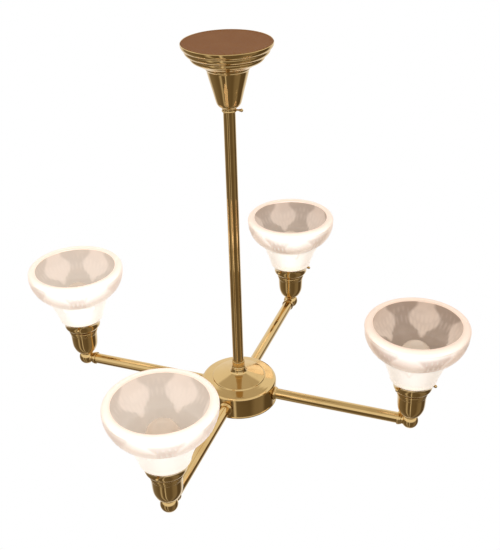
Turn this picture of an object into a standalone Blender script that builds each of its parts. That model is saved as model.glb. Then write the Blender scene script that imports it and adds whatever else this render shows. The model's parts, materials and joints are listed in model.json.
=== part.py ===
"""A four-light chandelier: a round canopy, a long stem, a drum hub and four straight arms with bell shades.

Frame: metres, +Z up. The origin is the middle of the face that lies against the ceiling, and the
arms run along +X, +Y, -X and -Y. Each light is modelled about its own upright axis, with zero
height at the middle of its arm.
"""

import math

import bmesh
import bpy
from mathutils import Matrix, Vector

# ---- Driving dimensions, in metres -----------------------------------------------------------

CLEARANCE = 0.0003  # between any two pieces that meet

STEM_DROP = 0.5726  # ceiling down to the middle of the arms
ARM_REACH = 0.2834  # stem axis out to each shade's axis
TUBE_RADIUS = 0.00875  # stem and arms are the same tube
TUBE_WALL = 0.0012
SHEET_WALL = 0.001  # spun brass sheet of the canopy and the hub
COLLAR_WALL = 0.0018  # turned rings around a tube

CANOPY_RADIUS = 0.0635
CANOPY_DEPTH = 0.091
CANOPY_PAN_DEPTH = 0.036  # the stepped pan, above the bell
CANOPY_BELL_RADIUS = 0.0305  # top of the bell, under the pan
# Corners of the stepped pan: shares of its width and of its depth, from the bell out to the rim.
CANOPY_PAN_CORNERS = ((0.32, 0.22), (0.56, 0.33), (0.74, 0.55), (0.88, 0.70), (1.00, 0.88))
# Points up the bell: shares of its top radius and of its height.
CANOPY_BELL_POINTS = ((0.57, 0.09), (0.67, 0.31), (0.87, 0.73))
CANOPY_COLLAR_HEIGHT = 0.0064
PLATE_THICKNESS = 0.002
STUD_RADIUS = 0.0066
STUD_FLANGE_RADIUS = 0.020
STUD_FLANGE_THICKNESS = 0.003
STUD_LENGTH = 0.018
STUD_GAP = 0.006  # bare thread between the stud's flange and the hickey
HICKEY_HEIGHT = 0.044
HICKEY_WALL = 0.0048
HICKEY_BOSS_HEIGHT = 0.011
NIPPLE_LENGTH = 0.025
NIPPLE_WALL = 0.0025

HUB_RADIUS = 0.061
HUB_WALL_TOP = 0.0135  # above the middle of the arms, where the shoulder starts
HUB_WALL_BOTTOM = -0.0160
HUB_SHOULDER_RADIUS = 0.0070
HUB_CROWN_RADIUS = 0.0415  # the raised middle of the hub's top
HUB_CROWN_HEIGHT = 0.0250
HUB_CROWN_STEP = 0.0012
HUB_NECK_FLARE = 0.0032  # how far the neck's foot stands out past its top
HUB_NECK_FOOT_HEIGHT = 0.0318
HUB_NECK_WALL = 0.00175
HUB_NECK_HEIGHT = 0.0400
HUB_BEAD_RADIUS = 0.0018
NECK_COLLAR_HEIGHT = 0.0137
NECK_COLLAR_FOOT = 0.0003  # how far its foot stands out past its middle
CLUSTER_RADIUS = 0.0255
CLUSTER_WALL = 0.0055
CLUSTER_TOP = 0.0180
CLUSTER_ROOF = 0.0050
CLUSTER_BASE = 0.0030
CLUSTER_BOTTOM = -0.0160
COVER_SCREW_RADIUS = 0.0025
COVER_SCREW_HEAD_RADIUS = 0.0075
COVER_SCREW_HEAD_HEIGHT = 0.0045
COVER_DISH_RADIUS = 0.0175  # the dished middle that the screw's head sits in
COVER_STEP_RADIUS = 0.0400
COVER_STEP = 0.0012

ARM_COLLAR_LENGTH = 0.0045
ARM_COLLAR_RIM = 0.0024  # how far it stands out past the tube
ELBOW_BALL_RADIUS = 0.0129
ELBOW_SLEEVE_REACH = 0.0195  # ball centre to the mouth of the sleeve
ELBOW_SLEEVE_DEPTH = 0.0060
ELBOW_SLEEVE_WALL = 0.0015
ELBOW_RING_LENGTH = 0.0035
ELBOW_NECK_RADIUS = 0.0082  # between the sleeve and the ball
ELBOW_SEAT_RADIUS = 0.0095
ELBOW_NIPPLE_RADIUS = 0.0065
ELBOW_NIPPLE_GRIP = 0.0070  # how far it goes into the lampholder
WIREWAY_RADIUS = 0.0048

CUP_FOOT_INSET = 0.0015  # how far its foot is inside the lampholder's cap
CUP_ROUND_HEIGHT = 0.0155  # the rounded lower part
CUP_ROOM = 0.0019  # between the lampholder and the cup, where the rounded part ends
CUP_FLARE = 0.0012  # how far it widens above the rounded part
CUP_LIP = 0.0009  # how far its lip stands out
CUP_LIP_HEIGHT = 0.0025
CUP_HEIGHT = 0.0415
CUP_WALL = 0.0009

HOLDER_BEAD = 0.0011  # how far it stands out past the cup's lip
HOLDER_BEAD_HEIGHT = 0.0040
HOLDER_SHOULDER = 0.0115  # its bottom up to where the glass sits
HOLDER_HEIGHT = 0.0270
HOLDER_WALL = 0.0009
HOLDER_RIM_FLARE = 0.0040  # how far the rim stands out past the grip
FITTER_RADIUS = 0.0286  # the glass's lower lip, inside the holder
FITTER_LIP = 0.0012
FITTER_LIP_HEIGHT = 0.0025
FITTER_NECK_HEIGHT = 0.0080

SHADE_WALL = 0.0035
SHADE_FOOT_RADIUS = 0.0361  # lowest part of the body, over the holder's rim
SHADE_WAIST_RADIUS = 0.0525
SHADE_WAIST_HEIGHT = 0.0430  # above the foot
SHADE_RADIUS = 0.0777
SHADE_BELL_RADIUS = 0.0474  # radius of the round side of the bell
SHADE_BELL_HEIGHT = 0.0868  # foot to the widest ring
SHADE_SIDE_HEIGHT = 0.0015  # the upright stretch above the widest ring
SHADE_ROLL_RADIUS = 0.0080  # radius of the turned-in rim
SHADE_LIP = 0.0016  # thickness of the edge of its mouth
SHADE_MOUTH_RADIUS = 0.0652

LAMPHOLDER_RADIUS = 0.0182
LAMPHOLDER_CAP_SLOPE = 0.0032
LAMPHOLDER_CAP_HEIGHT = 0.0080
LAMPHOLDER_STANDOFF = 0.0039  # above the cup's floor
LAMPHOLDER_HEIGHT = 0.0460
LAMPHOLDER_WEB = 0.0125
LAMPHOLDER_WEB_DEPTH = 0.0110  # its bottom up to the web
BULB_BASE_RADIUS = 0.0131
BULB_BASE_LENGTH = 0.0260
BULB_CONTACT_RADIUS = 0.0045
BULB_LENGTH = 0.1040
BULB_RADIUS = 0.0240
BULB_WALL = 0.0010

SCREW_RADIUS = 0.0015
SCREW_HEAD_RADIUS = 0.0026
SCREW_NECK_LENGTH = 0.0010  # between the wall that it goes through and its head
SCREW_ABOVE_LIP = 0.0027
CANOPY_SCREW_RADIUS = 0.0013
CANOPY_SCREW_HEAD_RADIUS = 0.0025
CANOPY_SCREW_NECK_LENGTH = 0.0052
CANOPY_SCREW_TURN = 0.0  # degrees about the stem
SCREWS_PER_HOLDER = 3

LEAD_RADIUS = 0.0016
LEAD_BEND = 0.0110
LEAD_TAIL = 0.0160  # how far the supply end stands out beside the stem
JUNCTION_RADIUS = 0.0075
JUNCTION_HEIGHT = 0.0120

# Name, direction about the stem in degrees, and how far that holder's first screw is turned.
ARMS = (
    ("right", 0.0, -3.0),
    ("back", 90.0, -80.0),
    ("left", 180.0, -12.0),
    ("front", 270.0, 5.5),
)

ROUND_STEPS = 20
SHADE_STEPS = 16
TUBE_STEPS = 16
SMALL_STEPS = 12
SCREW_STEPS = 8

# ---- Places that follow from the dimensions ---------------------------------------------------

TUBE_HOLE_RADIUS = TUBE_RADIUS + CLEARANCE
COLLAR_RADIUS = TUBE_HOLE_RADIUS + COLLAR_WALL
STUD_FLANGE_TOP = -PLATE_THICKNESS - CLEARANCE
STUD_BOTTOM = STUD_FLANGE_TOP - STUD_FLANGE_THICKNESS - STUD_LENGTH
HICKEY_TOP = STUD_FLANGE_TOP - STUD_FLANGE_THICKNESS - STUD_GAP
HICKEY_BOTTOM = HICKEY_TOP - HICKEY_HEIGHT
STEM_TOP = HICKEY_BOTTOM - CLEARANCE
CANOPY_COLLAR_TOP = -CANOPY_DEPTH - CLEARANCE
CANOPY_SCREW_HEIGHT = CANOPY_COLLAR_TOP - CANOPY_COLLAR_HEIGHT / 2
NIPPLE_RADIUS = TUBE_RADIUS - TUBE_WALL - CLEARANCE
NIPPLE_BORE = NIPPLE_RADIUS - NIPPLE_WALL
HICKEY_BORE = NIPPLE_RADIUS + CLEARANCE
HICKEY_RADIUS = max(HICKEY_BORE, STUD_RADIUS + CLEARANCE) + HICKEY_WALL

CLUSTER_FLOOR = CLUSTER_BOTTOM + CLUSTER_BASE
CLUSTER_CEILING = CLUSTER_TOP - CLUSTER_ROOF
STEM_FOOT = CLUSTER_CEILING + CLEARANCE
JUNCTION_TOP = JUNCTION_HEIGHT / 2
COVER_TOP = CLUSTER_BOTTOM - CLEARANCE
HUB_MOUTH_RADIUS = HUB_RADIUS - 2 * SHEET_WALL
HUB_NECK_RADIUS = TUBE_HOLE_RADIUS + HUB_NECK_WALL
HUB_NECK_FOOT_RADIUS = HUB_NECK_RADIUS + HUB_NECK_FLARE

ELBOW_SLEEVE_RADIUS = TUBE_HOLE_RADIUS + ELBOW_SLEEVE_WALL
ARM_START = CLUSTER_RADIUS - CLUSTER_WALL
ARM_END = ARM_REACH - ELBOW_SLEEVE_REACH + ELBOW_SLEEVE_DEPTH - CLEARANCE

CUP_BOTTOM = ELBOW_BALL_RADIUS + CLEARANCE
CUP_TOP = CUP_BOTTOM + CUP_HEIGHT
LAMPHOLDER_CAP_RADIUS = LAMPHOLDER_RADIUS - LAMPHOLDER_CAP_SLOPE
CUP_FOOT_RADIUS = LAMPHOLDER_CAP_RADIUS - CUP_FOOT_INSET
CUP_ROUND_RADIUS = LAMPHOLDER_RADIUS + CUP_ROOM + CUP_WALL
CUP_RADIUS = CUP_ROUND_RADIUS + CUP_FLARE
CUP_LIP_RADIUS = CUP_RADIUS + CUP_LIP
LAMPHOLDER_BOTTOM = CUP_BOTTOM + CUP_WALL + LAMPHOLDER_STANDOFF
LAMPHOLDER_TOP = LAMPHOLDER_BOTTOM + LAMPHOLDER_HEIGHT
LAMPHOLDER_WEB_BOTTOM = LAMPHOLDER_BOTTOM + LAMPHOLDER_WEB_DEPTH
LAMPHOLDER_FLOOR = LAMPHOLDER_WEB_BOTTOM + LAMPHOLDER_WEB
ELBOW_NIPPLE_TOP = LAMPHOLDER_BOTTOM + ELBOW_NIPPLE_GRIP
HOLDER_BOTTOM = CUP_TOP + CLEARANCE
HOLDER_BEAD_RADIUS = CUP_LIP_RADIUS + HOLDER_BEAD
HOLDER_TOP = HOLDER_BOTTOM + HOLDER_HEIGHT
HOLDER_GRIP_RADIUS = FITTER_RADIUS + CLEARANCE + HOLDER_WALL
HOLDER_SHOULDER_HEIGHT = HOLDER_BOTTOM + HOLDER_SHOULDER
HOLDER_RIM_RADIUS = HOLDER_GRIP_RADIUS + HOLDER_RIM_FLARE
FITTER_BOTTOM = HOLDER_SHOULDER_HEIGHT + HOLDER_WALL
FITTER_NECK_RADIUS = FITTER_RADIUS - FITTER_LIP
FITTER_NECK_TOP = FITTER_BOTTOM + FITTER_LIP_HEIGHT + FITTER_NECK_HEIGHT
SHADE_FOOT = HOLDER_TOP + 5 * CLEARANCE
SCREW_HEIGHT = FITTER_BOTTOM + FITTER_LIP_HEIGHT + SCREW_RADIUS + SCREW_ABOVE_LIP
SCREW_TIP = FITTER_NECK_RADIUS + CLEARANCE
SCREW_SEAT = HOLDER_GRIP_RADIUS + HOLDER_RIM_FLARE / 3

BULB_BOTTOM = LAMPHOLDER_FLOOR + CLEARANCE
LAMPHOLDER_BORE = BULB_BASE_RADIUS + CLEARANCE


# ---- Making solids ----------------------------------------------------------------------------


def arc(centre, radius, start, end, steps):
    """Points on a circle in the (radius, height) plane, angles in degrees from outward to up."""
    turns = [math.radians(start + (end - start) * i / steps) for i in range(steps + 1)]
    return [(centre[0] + radius * math.cos(t), centre[1] + radius * math.sin(t)) for t in turns]


def inset(outline, wall):
    """The outline moved by the wall's thickness to its right, with mitred corners."""
    points = [Vector(p) for p in outline]
    runs = [(b - a).normalized() for a, b in zip(points, points[1:])]
    sides = [Vector((run.y, -run.x)) for run in runs]
    moved = []
    for i, point in enumerate(points):
        before = sides[max(i - 1, 0)]
        after = sides[min(i, len(sides) - 1)]
        middle = (before + after).normalized()
        moved.append(tuple(point + middle * wall / max(middle.dot(after), 0.5)))
    return moved


def turned(name, outline, steps, closed=True):
    """A mesh turned about Z. A closed outline goes round a hole; an open one starts and ends on the axis."""
    mesh = bpy.data.meshes.new(name)
    shape = bmesh.new()
    points = [shape.verts.new((radius, 0.0, height)) for radius, height in outline]
    pairs = list(zip(points, points[1:]))
    if closed:
        pairs.append((points[-1], points[0]))
    edges = [shape.edges.new(pair) for pair in pairs]
    bmesh.ops.spin(
        shape,
        geom=points + edges,
        cent=(0.0, 0.0, 0.0),
        axis=(0.0, 0.0, 1.0),
        angle=math.tau,
        steps=steps,
        use_merge=True,
    )
    bmesh.ops.remove_doubles(shape, verts=shape.verts, dist=1e-7)
    bmesh.ops.recalc_face_normals(shape, faces=shape.faces)
    shape.to_mesh(mesh)
    shape.free()
    return mesh


def tube_outline(radius, bore, bottom, top):
    return [(radius, bottom), (radius, top), (bore, top), (bore, bottom)]


def rod(name, radius, bottom, top, steps=SMALL_STEPS):
    outline = [(0.0, bottom), (radius, bottom), (radius, top), (0.0, top)]
    return turned(name, outline, steps, closed=False)


def block(name, size, centre):
    mesh = bpy.data.meshes.new(name)
    shape = bmesh.new()
    bmesh.ops.create_cube(shape, size=1.0)
    bmesh.ops.scale(shape, vec=size, verts=shape.verts)
    bmesh.ops.translate(shape, vec=centre, verts=shape.verts)
    shape.to_mesh(mesh)
    shape.free()
    return mesh


def laid_along_x(mesh):
    """Turns a mesh from the Z axis onto the X axis, so that its heights run outwards."""
    onto_x = Vector((0.0, 0.0, 1.0)).rotation_difference(Vector((1.0, 0.0, 0.0)))
    mesh.transform(onto_x.to_matrix().to_4x4())
    return mesh


def combined(mesh, others, operation):
    """The mesh after a Boolean with each of the others in turn."""
    body = bpy.data.objects.new(mesh.name, mesh)
    bpy.context.scene.collection.objects.link(body)
    tools = []
    for other in others:
        tool = bpy.data.objects.new(other.name, other)
        bpy.context.scene.collection.objects.link(tool)
        step = body.modifiers.new(other.name, "BOOLEAN")
        step.operation = operation
        step.object = tool
        tools.append(tool)
    bpy.context.view_layer.update()
    graph = bpy.context.evaluated_depsgraph_get()
    result = bpy.data.meshes.new_from_object(body.evaluated_get(graph))
    result.name = mesh.name
    for used in [body] + tools:
        bpy.data.objects.remove(used)
    return result


def cut(mesh, *cutters):
    return combined(mesh, cutters, "DIFFERENCE")


def united(mesh, *additions):
    return combined(mesh, additions, "UNION")


def material(name, colour, roughness, metallic=0.0, transmission=0.0):
    made = bpy.data.materials.new(name)
    made.use_nodes = True
    shader = made.node_tree.nodes["Principled BSDF"]
    shader.inputs["Base Color"].default_value = (*colour, 1.0)
    shader.inputs["Roughness"].default_value = roughness
    shader.inputs["Metallic"].default_value = metallic
    shader.inputs["Transmission Weight"].default_value = transmission
    return made


def anchor(name, parent=None, location=(0.0, 0.0, 0.0), turn=0.0):
    """An empty to place pieces on, turned about Z by degrees."""
    empty = bpy.data.objects.new(name, None)
    empty.location = location
    empty.rotation_euler = (0.0, 0.0, math.radians(turn))
    empty.parent = parent
    bpy.context.scene.collection.objects.link(empty)
    return empty


def place(name, data, finish, parent=None, location=(0.0, 0.0, 0.0)):
    """A piece of the chandelier, shaded smooth between its sharp edges."""
    data.materials.clear()
    data.materials.append(finish)
    if isinstance(data, bpy.types.Mesh):
        data.shade_smooth()
        data.set_sharp_from_angle(angle=math.radians(40.0))
    piece = bpy.data.objects.new(name, data)
    piece.location = location
    piece.parent = parent
    bpy.context.scene.collection.objects.link(piece)
    return piece


# ---- At the ceiling ---------------------------------------------------------------------------


def mounting_plate():
    """The plain round plate against the ceiling, inside the canopy's rim."""
    radius = CANOPY_RADIUS - SHEET_WALL - CLEARANCE
    return rod("mounting_plate", radius, -PLATE_THICKNESS, 0.0, ROUND_STEPS)


def ceiling_stud():
    """The flanged stud under the plate, which the hickey screws onto."""
    flange_bottom = STUD_FLANGE_TOP - STUD_FLANGE_THICKNESS
    outline = [
        (0.0, STUD_FLANGE_TOP),
        (STUD_FLANGE_RADIUS, STUD_FLANGE_TOP),
        (STUD_FLANGE_RADIUS, flange_bottom),
        (STUD_RADIUS, flange_bottom),
        (STUD_RADIUS, STUD_BOTTOM),
        (0.0, STUD_BOTTOM),
    ]
    return turned("ceiling_stud", outline, SMALL_STEPS, closed=False)


def hickey():
    """The open coupling between the stud and the stem, with a window that lets the wires out."""
    middle = HICKEY_TOP - HICKEY_HEIGHT / 2
    outline = [
        (HICKEY_RADIUS, HICKEY_BOTTOM),
        (HICKEY_RADIUS, HICKEY_TOP),
        (STUD_RADIUS + CLEARANCE, HICKEY_TOP),
        (STUD_RADIUS + CLEARANCE, middle),
        (HICKEY_BORE, middle),
        (HICKEY_BORE, HICKEY_BOTTOM),
    ]
    window_size = (2 * HICKEY_BORE + CLEARANCE, 3 * HICKEY_RADIUS, HICKEY_HEIGHT - 2 * HICKEY_BOSS_HEIGHT)
    window = block("window", window_size, (0.0, 0.0, middle))
    return cut(turned("hickey", outline, TUBE_STEPS), window)


def stem_nipple():
    """The hollow threaded tube that joins the hickey to the stem."""
    bottom = (HICKEY_BOTTOM + STEM_TOP - NIPPLE_LENGTH) / 2
    outline = tube_outline(NIPPLE_RADIUS, NIPPLE_BORE, bottom, bottom + NIPPLE_LENGTH)
    return turned("stem_nipple", outline, SMALL_STEPS)


def canopy_outline():
    """The outer side of the canopy, from its bottom hole up to its rim."""
    pan_width = CANOPY_RADIUS - CANOPY_BELL_RADIUS
    bell_height = CANOPY_DEPTH - CANOPY_PAN_DEPTH
    outline = [(COLLAR_RADIUS, -CANOPY_DEPTH)]
    for radius, height in CANOPY_BELL_POINTS:
        outline.append((CANOPY_BELL_RADIUS * radius, bell_height * height - CANOPY_DEPTH))
    outline.append((CANOPY_BELL_RADIUS, -CANOPY_PAN_DEPTH))
    for width, height in CANOPY_PAN_CORNERS:
        outline.append((CANOPY_BELL_RADIUS + pan_width * width, CANOPY_PAN_DEPTH * (height - 1.0)))
    outline.append((CANOPY_RADIUS, 0.0))
    return outline


def canopy():
    """The spun canopy: a stepped pan over a bell, open at the top, with a hole for the stem."""
    outer = canopy_outline()
    inner = inset(outer, -SHEET_WALL)
    inner[0] = (TUBE_HOLE_RADIUS + CLEARANCE, -CANOPY_DEPTH)
    inner[-1] = (CANOPY_RADIUS - SHEET_WALL, 0.0)
    return turned("canopy", outer + inner[::-1], ROUND_STEPS)


def canopy_collar():
    """The slip collar that holds the canopy up on the stem, drilled for its thumbscrew."""
    bottom = CANOPY_COLLAR_TOP - CANOPY_COLLAR_HEIGHT
    outline = tube_outline(COLLAR_RADIUS, TUBE_HOLE_RADIUS, bottom, CANOPY_COLLAR_TOP)
    ring = turned("canopy_collar", outline, TUBE_STEPS)
    return cut(ring, screw_hole(CANOPY_SCREW_RADIUS, COLLAR_RADIUS, CANOPY_SCREW_TURN, CANOPY_SCREW_HEIGHT))


def screw_turn(degrees, height):
    """The place of a screw that points outwards from the Z axis."""
    return Matrix.Translation((0.0, 0.0, height)) @ Matrix.Rotation(math.radians(degrees), 4, "Z")


def screw_hole(screw_radius, wall_radius, degrees, height):
    """A cutter for the hole of a screw that goes in through a round wall."""
    radius = screw_radius + CLEARANCE
    hole = laid_along_x(rod("hole", radius, 0.5 * wall_radius, 2.0 * wall_radius, SCREW_STEPS))
    hole.transform(screw_turn(degrees, height))
    return hole


def thumbscrew(name, shank_radius, tip, seat, neck_length, head_radius):
    """A ball-headed thumbscrew along X, from its tip out to its head."""
    buried = math.sqrt(head_radius**2 - shank_radius**2)
    centre = seat + neck_length + buried
    meets = math.degrees(math.asin(shank_radius / head_radius))
    outline = [(0.0, tip), (shank_radius, tip)]
    outline += [(z, x) for x, z in arc((centre, 0.0), head_radius, 180.0 - meets, 0.0, 4)[:-1]]
    outline.append((0.0, centre + head_radius))
    return laid_along_x(turned(name, outline, SCREW_STEPS, closed=False))


def build_ceiling(brass, plate_finish, steel):
    place("mounting_plate", mounting_plate(), plate_finish)
    place("ceiling_stud", ceiling_stud(), steel)
    place("hickey", hickey(), steel)
    place("stem_nipple", stem_nipple(), steel)
    slide = anchor("canopy_slide")
    place("canopy", canopy(), brass, slide)
    place("canopy_collar", canopy_collar(), brass, slide)
    screw = thumbscrew(
        "canopy_thumbscrew",
        CANOPY_SCREW_RADIUS,
        TUBE_HOLE_RADIUS,
        COLLAR_RADIUS,
        CANOPY_SCREW_NECK_LENGTH,
        CANOPY_SCREW_HEAD_RADIUS,
    )
    axis = anchor("canopy_thumbscrew_axis", slide, (0.0, 0.0, CANOPY_SCREW_HEIGHT), CANOPY_SCREW_TURN)
    place("canopy_thumbscrew", screw, brass, axis)


# ---- Stem and hub -----------------------------------------------------------------------------


def stem_tube():
    outline = tube_outline(TUBE_RADIUS, TUBE_RADIUS - TUBE_WALL, STEM_FOOT - STEM_DROP, STEM_TOP)
    return turned("stem_tube", outline, TUBE_STEPS)


def neck_collar():
    """The turned ring around the stem, on the hub's neck."""
    bottom = HUB_NECK_HEIGHT + CLEARANCE
    outline = [
        (COLLAR_RADIUS + NECK_COLLAR_FOOT, bottom),
        (COLLAR_RADIUS + NECK_COLLAR_FOOT, bottom + NECK_COLLAR_HEIGHT / 4),
        (COLLAR_RADIUS - NECK_COLLAR_FOOT, bottom + NECK_COLLAR_HEIGHT / 3),
        (COLLAR_RADIUS - NECK_COLLAR_FOOT, bottom + NECK_COLLAR_HEIGHT),
        (TUBE_HOLE_RADIUS, bottom + NECK_COLLAR_HEIGHT),
        (TUBE_HOLE_RADIUS, bottom),
    ]
    return turned("neck_collar", outline, TUBE_STEPS)


def hub_outline():
    """The outer side of the hub, from the curled bottom edge up to the top of its neck."""
    bead_centre = (HUB_RADIUS - HUB_BEAD_RADIUS / 3, HUB_WALL_BOTTOM - HUB_BEAD_RADIUS)
    shoulder_centre = (HUB_RADIUS - HUB_SHOULDER_RADIUS, HUB_WALL_TOP)
    outline = arc(bead_centre, HUB_BEAD_RADIUS, -75.0, 60.0, 2)
    outline += arc(shoulder_centre, HUB_SHOULDER_RADIUS, 0.0, 85.0, 2)
    outline += [
        (HUB_CROWN_RADIUS + HUB_CROWN_STEP, HUB_CROWN_HEIGHT - HUB_CROWN_STEP),
        (HUB_CROWN_RADIUS - HUB_CROWN_STEP, HUB_CROWN_HEIGHT),
        (HUB_NECK_FOOT_RADIUS, HUB_NECK_FOOT_HEIGHT),
        (HUB_NECK_RADIUS, HUB_NECK_HEIGHT),
    ]
    return outline


def arm_cutters(length):
    """Two rods through the hub, one along X and one along Y."""
    along_x = laid_along_x(rod("hole_x", TUBE_HOLE_RADIUS, -length, length))
    along_y = laid_along_x(rod("hole_y", TUBE_HOLE_RADIUS, -length, length))
    along_y.transform(screw_turn(90.0, 0.0))
    return along_x, along_y


def hub_body():
    """The spun hub: domed top, upright wall and curled bottom edge, with four holes for the arms."""
    outer = hub_outline()
    inner = inset(outer, -SHEET_WALL)
    inner[0] = (HUB_MOUTH_RADIUS, outer[0][1])
    inner[-1] = (TUBE_HOLE_RADIUS, HUB_NECK_HEIGHT - SHEET_WALL)
    top_edge = [(TUBE_HOLE_RADIUS, HUB_NECK_HEIGHT)]
    shell = turned("hub_body", outer + top_edge + inner[::-1], ROUND_STEPS)
    return cut(shell, *arm_cutters(2 * HUB_RADIUS))


def cluster_body():
    """The casting inside the hub that the stem and the four arms screw into."""
    inside = CLUSTER_RADIUS - CLUSTER_WALL
    outline = [
        (COVER_SCREW_RADIUS + CLEARANCE, CLUSTER_BOTTOM),
        (CLUSTER_RADIUS, CLUSTER_BOTTOM),
        (CLUSTER_RADIUS, CLUSTER_TOP),
        (TUBE_HOLE_RADIUS, CLUSTER_TOP),
        (TUBE_HOLE_RADIUS, CLUSTER_CEILING),
        (inside, CLUSTER_CEILING),
        (inside, CLUSTER_FLOOR),
        (COVER_SCREW_RADIUS + CLEARANCE, CLUSTER_FLOOR),
    ]
    return cut(turned("cluster_body", outline, TUBE_STEPS), *arm_cutters(2 * CLUSTER_RADIUS))


def hub_bottom_cover():
    """The pressed plate that closes the hub from below."""
    rim = HUB_MOUTH_RADIUS - CLEARANCE
    low = HUB_WALL_BOTTOM - 2 * HUB_BEAD_RADIUS
    hole = COVER_SCREW_RADIUS + CLEARANCE
    outer = [
        (rim, low),
        (COVER_STEP_RADIUS, low - COVER_STEP),
        (COVER_DISH_RADIUS, low - COVER_STEP),
        (COVER_DISH_RADIUS - (COVER_TOP - low), COVER_TOP - SHEET_WALL),
        (hole, COVER_TOP - SHEET_WALL),
    ]
    inner = inset(outer, SHEET_WALL)
    inner[0] = (rim, low + SHEET_WALL)
    inner[-1] = (hole, COVER_TOP)
    return turned("hub_bottom_cover", outer + inner[::-1], ROUND_STEPS)


def hub_cover_screw():
    """The dome-headed screw that holds the bottom cover to the casting."""
    seat = COVER_TOP - SHEET_WALL - CLEARANCE
    low = seat - COVER_SCREW_HEAD_HEIGHT
    outline = [
        (0.0, low),
        (0.45 * COVER_SCREW_HEAD_RADIUS, low + 0.10 * COVER_SCREW_HEAD_HEIGHT),
        (0.85 * COVER_SCREW_HEAD_RADIUS, low + 0.50 * COVER_SCREW_HEAD_HEIGHT),
        (COVER_SCREW_HEAD_RADIUS, seat),
        (COVER_SCREW_RADIUS, seat),
        (COVER_SCREW_RADIUS, CLUSTER_FLOOR),
        (0.0, CLUSTER_FLOOR),
    ]
    return turned("hub_cover_screw", outline, SMALL_STEPS, closed=False)


def build_hub(brass, steel, connector):
    place("stem_tube", stem_tube(), brass)
    hub = anchor("hub_middle", None, (0.0, 0.0, -STEM_DROP))
    place("neck_collar", neck_collar(), brass, hub)
    place("hub_body", hub_body(), brass, hub)
    place("cluster_body", cluster_body(), steel, hub)
    place("hub_bottom_cover", hub_bottom_cover(), brass, hub)
    place("hub_cover_screw", hub_cover_screw(), brass, hub)
    junction = rod("wiring_junction", JUNCTION_RADIUS, JUNCTION_TOP - JUNCTION_HEIGHT, JUNCTION_TOP)
    place("wiring_junction", junction, connector, hub)


# ---- Arms and lights --------------------------------------------------------------------------


def arm_tube():
    """The arm along X, with the soldered ring that stops it against the hub's wall."""
    ring = HUB_RADIUS + CLEARANCE
    bore = TUBE_RADIUS - TUBE_WALL
    outline = [
        (TUBE_RADIUS, ARM_START),
        (TUBE_RADIUS, ring),
        (TUBE_RADIUS + ARM_COLLAR_RIM, ring),
        (TUBE_RADIUS + ARM_COLLAR_RIM, ring + ARM_COLLAR_LENGTH / 2),
        (TUBE_RADIUS, ring + ARM_COLLAR_LENGTH),
        (TUBE_RADIUS, ARM_END),
        (bore, ARM_END),
        (bore, ARM_START),
    ]
    return laid_along_x(turned("arm_tube", outline, SMALL_STEPS))


def elbow():
    """The cast corner: a ball with a sleeve towards the arm and a hollow nipple up into the cup."""
    ball_foot = math.degrees(math.asin(ELBOW_SEAT_RADIUS / ELBOW_BALL_RADIUS))
    outline = arc((0.0, 0.0), ELBOW_BALL_RADIUS, -90.0, 90.0 - ball_foot, 5)
    outline[0] = (0.0, -ELBOW_BALL_RADIUS)
    outline += [
        (ELBOW_SEAT_RADIUS, ELBOW_BALL_RADIUS),
        (ELBOW_NIPPLE_RADIUS, ELBOW_BALL_RADIUS),
        (ELBOW_NIPPLE_RADIUS, ELBOW_NIPPLE_TOP),
        (0.0, ELBOW_NIPPLE_TOP),
    ]
    ball = turned("elbow", outline, SMALL_STEPS, closed=False)
    mouth = -ELBOW_SLEEVE_REACH
    pocket_end = mouth + ELBOW_SLEEVE_DEPTH
    sleeve_outline = [
        (0.0, mouth),
        (ELBOW_SLEEVE_RADIUS, mouth),
        (ELBOW_SLEEVE_RADIUS, mouth + ELBOW_RING_LENGTH),
        (TUBE_HOLE_RADIUS + ELBOW_SLEEVE_WALL / 2, pocket_end),
        (ELBOW_NECK_RADIUS, pocket_end + ELBOW_SLEEVE_WALL),
        (ELBOW_NECK_RADIUS, -ELBOW_NECK_RADIUS / 2),
        (0.0, -ELBOW_NECK_RADIUS / 2),
    ]
    sleeve = laid_along_x(turned("sleeve", sleeve_outline, SMALL_STEPS, closed=False))
    bore_outline = [
        (0.0, 2 * mouth),
        (TUBE_HOLE_RADIUS, 2 * mouth),
        (TUBE_HOLE_RADIUS, pocket_end),
        (WIREWAY_RADIUS, pocket_end),
        (WIREWAY_RADIUS, 0.3 * WIREWAY_RADIUS),
        (0.0, 0.3 * WIREWAY_RADIUS),
    ]
    bore = laid_along_x(turned("bore", bore_outline, SMALL_STEPS, closed=False))
    riser = rod("riser", WIREWAY_RADIUS - CLEARANCE, -0.4 * WIREWAY_RADIUS, 2 * ELBOW_NIPPLE_TOP)
    return cut(united(ball, sleeve), bore, riser)


def socket_cup():
    """The spun cup over the lampholder, standing on the elbow."""
    swell = (CUP_ROUND_RADIUS - CUP_FOOT_RADIUS) * math.sin(math.radians(45.0))
    outer = [
        (ELBOW_NIPPLE_RADIUS + CLEARANCE, CUP_BOTTOM),
        (CUP_FOOT_RADIUS, CUP_BOTTOM),
        (CUP_FOOT_RADIUS + swell, CUP_BOTTOM + CUP_ROUND_HEIGHT / 2),
        (CUP_ROUND_RADIUS, CUP_BOTTOM + CUP_ROUND_HEIGHT),
        (CUP_RADIUS, CUP_TOP - 2 * CUP_LIP_HEIGHT),
        (CUP_LIP_RADIUS, CUP_TOP - CUP_LIP_HEIGHT),
        (CUP_LIP_RADIUS, CUP_TOP),
    ]
    inner = inset(outer, -CUP_WALL)
    inner[0] = (outer[0][0], CUP_BOTTOM + CUP_WALL)
    return turned("socket_cup", outer + inner[::-1], SMALL_STEPS)


def screw_turns(first_screw):
    """The directions of a holder's screws, in degrees from its arm's own."""
    return [first_screw + number * 360.0 / SCREWS_PER_HOLDER for number in range(SCREWS_PER_HOLDER)]


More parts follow.
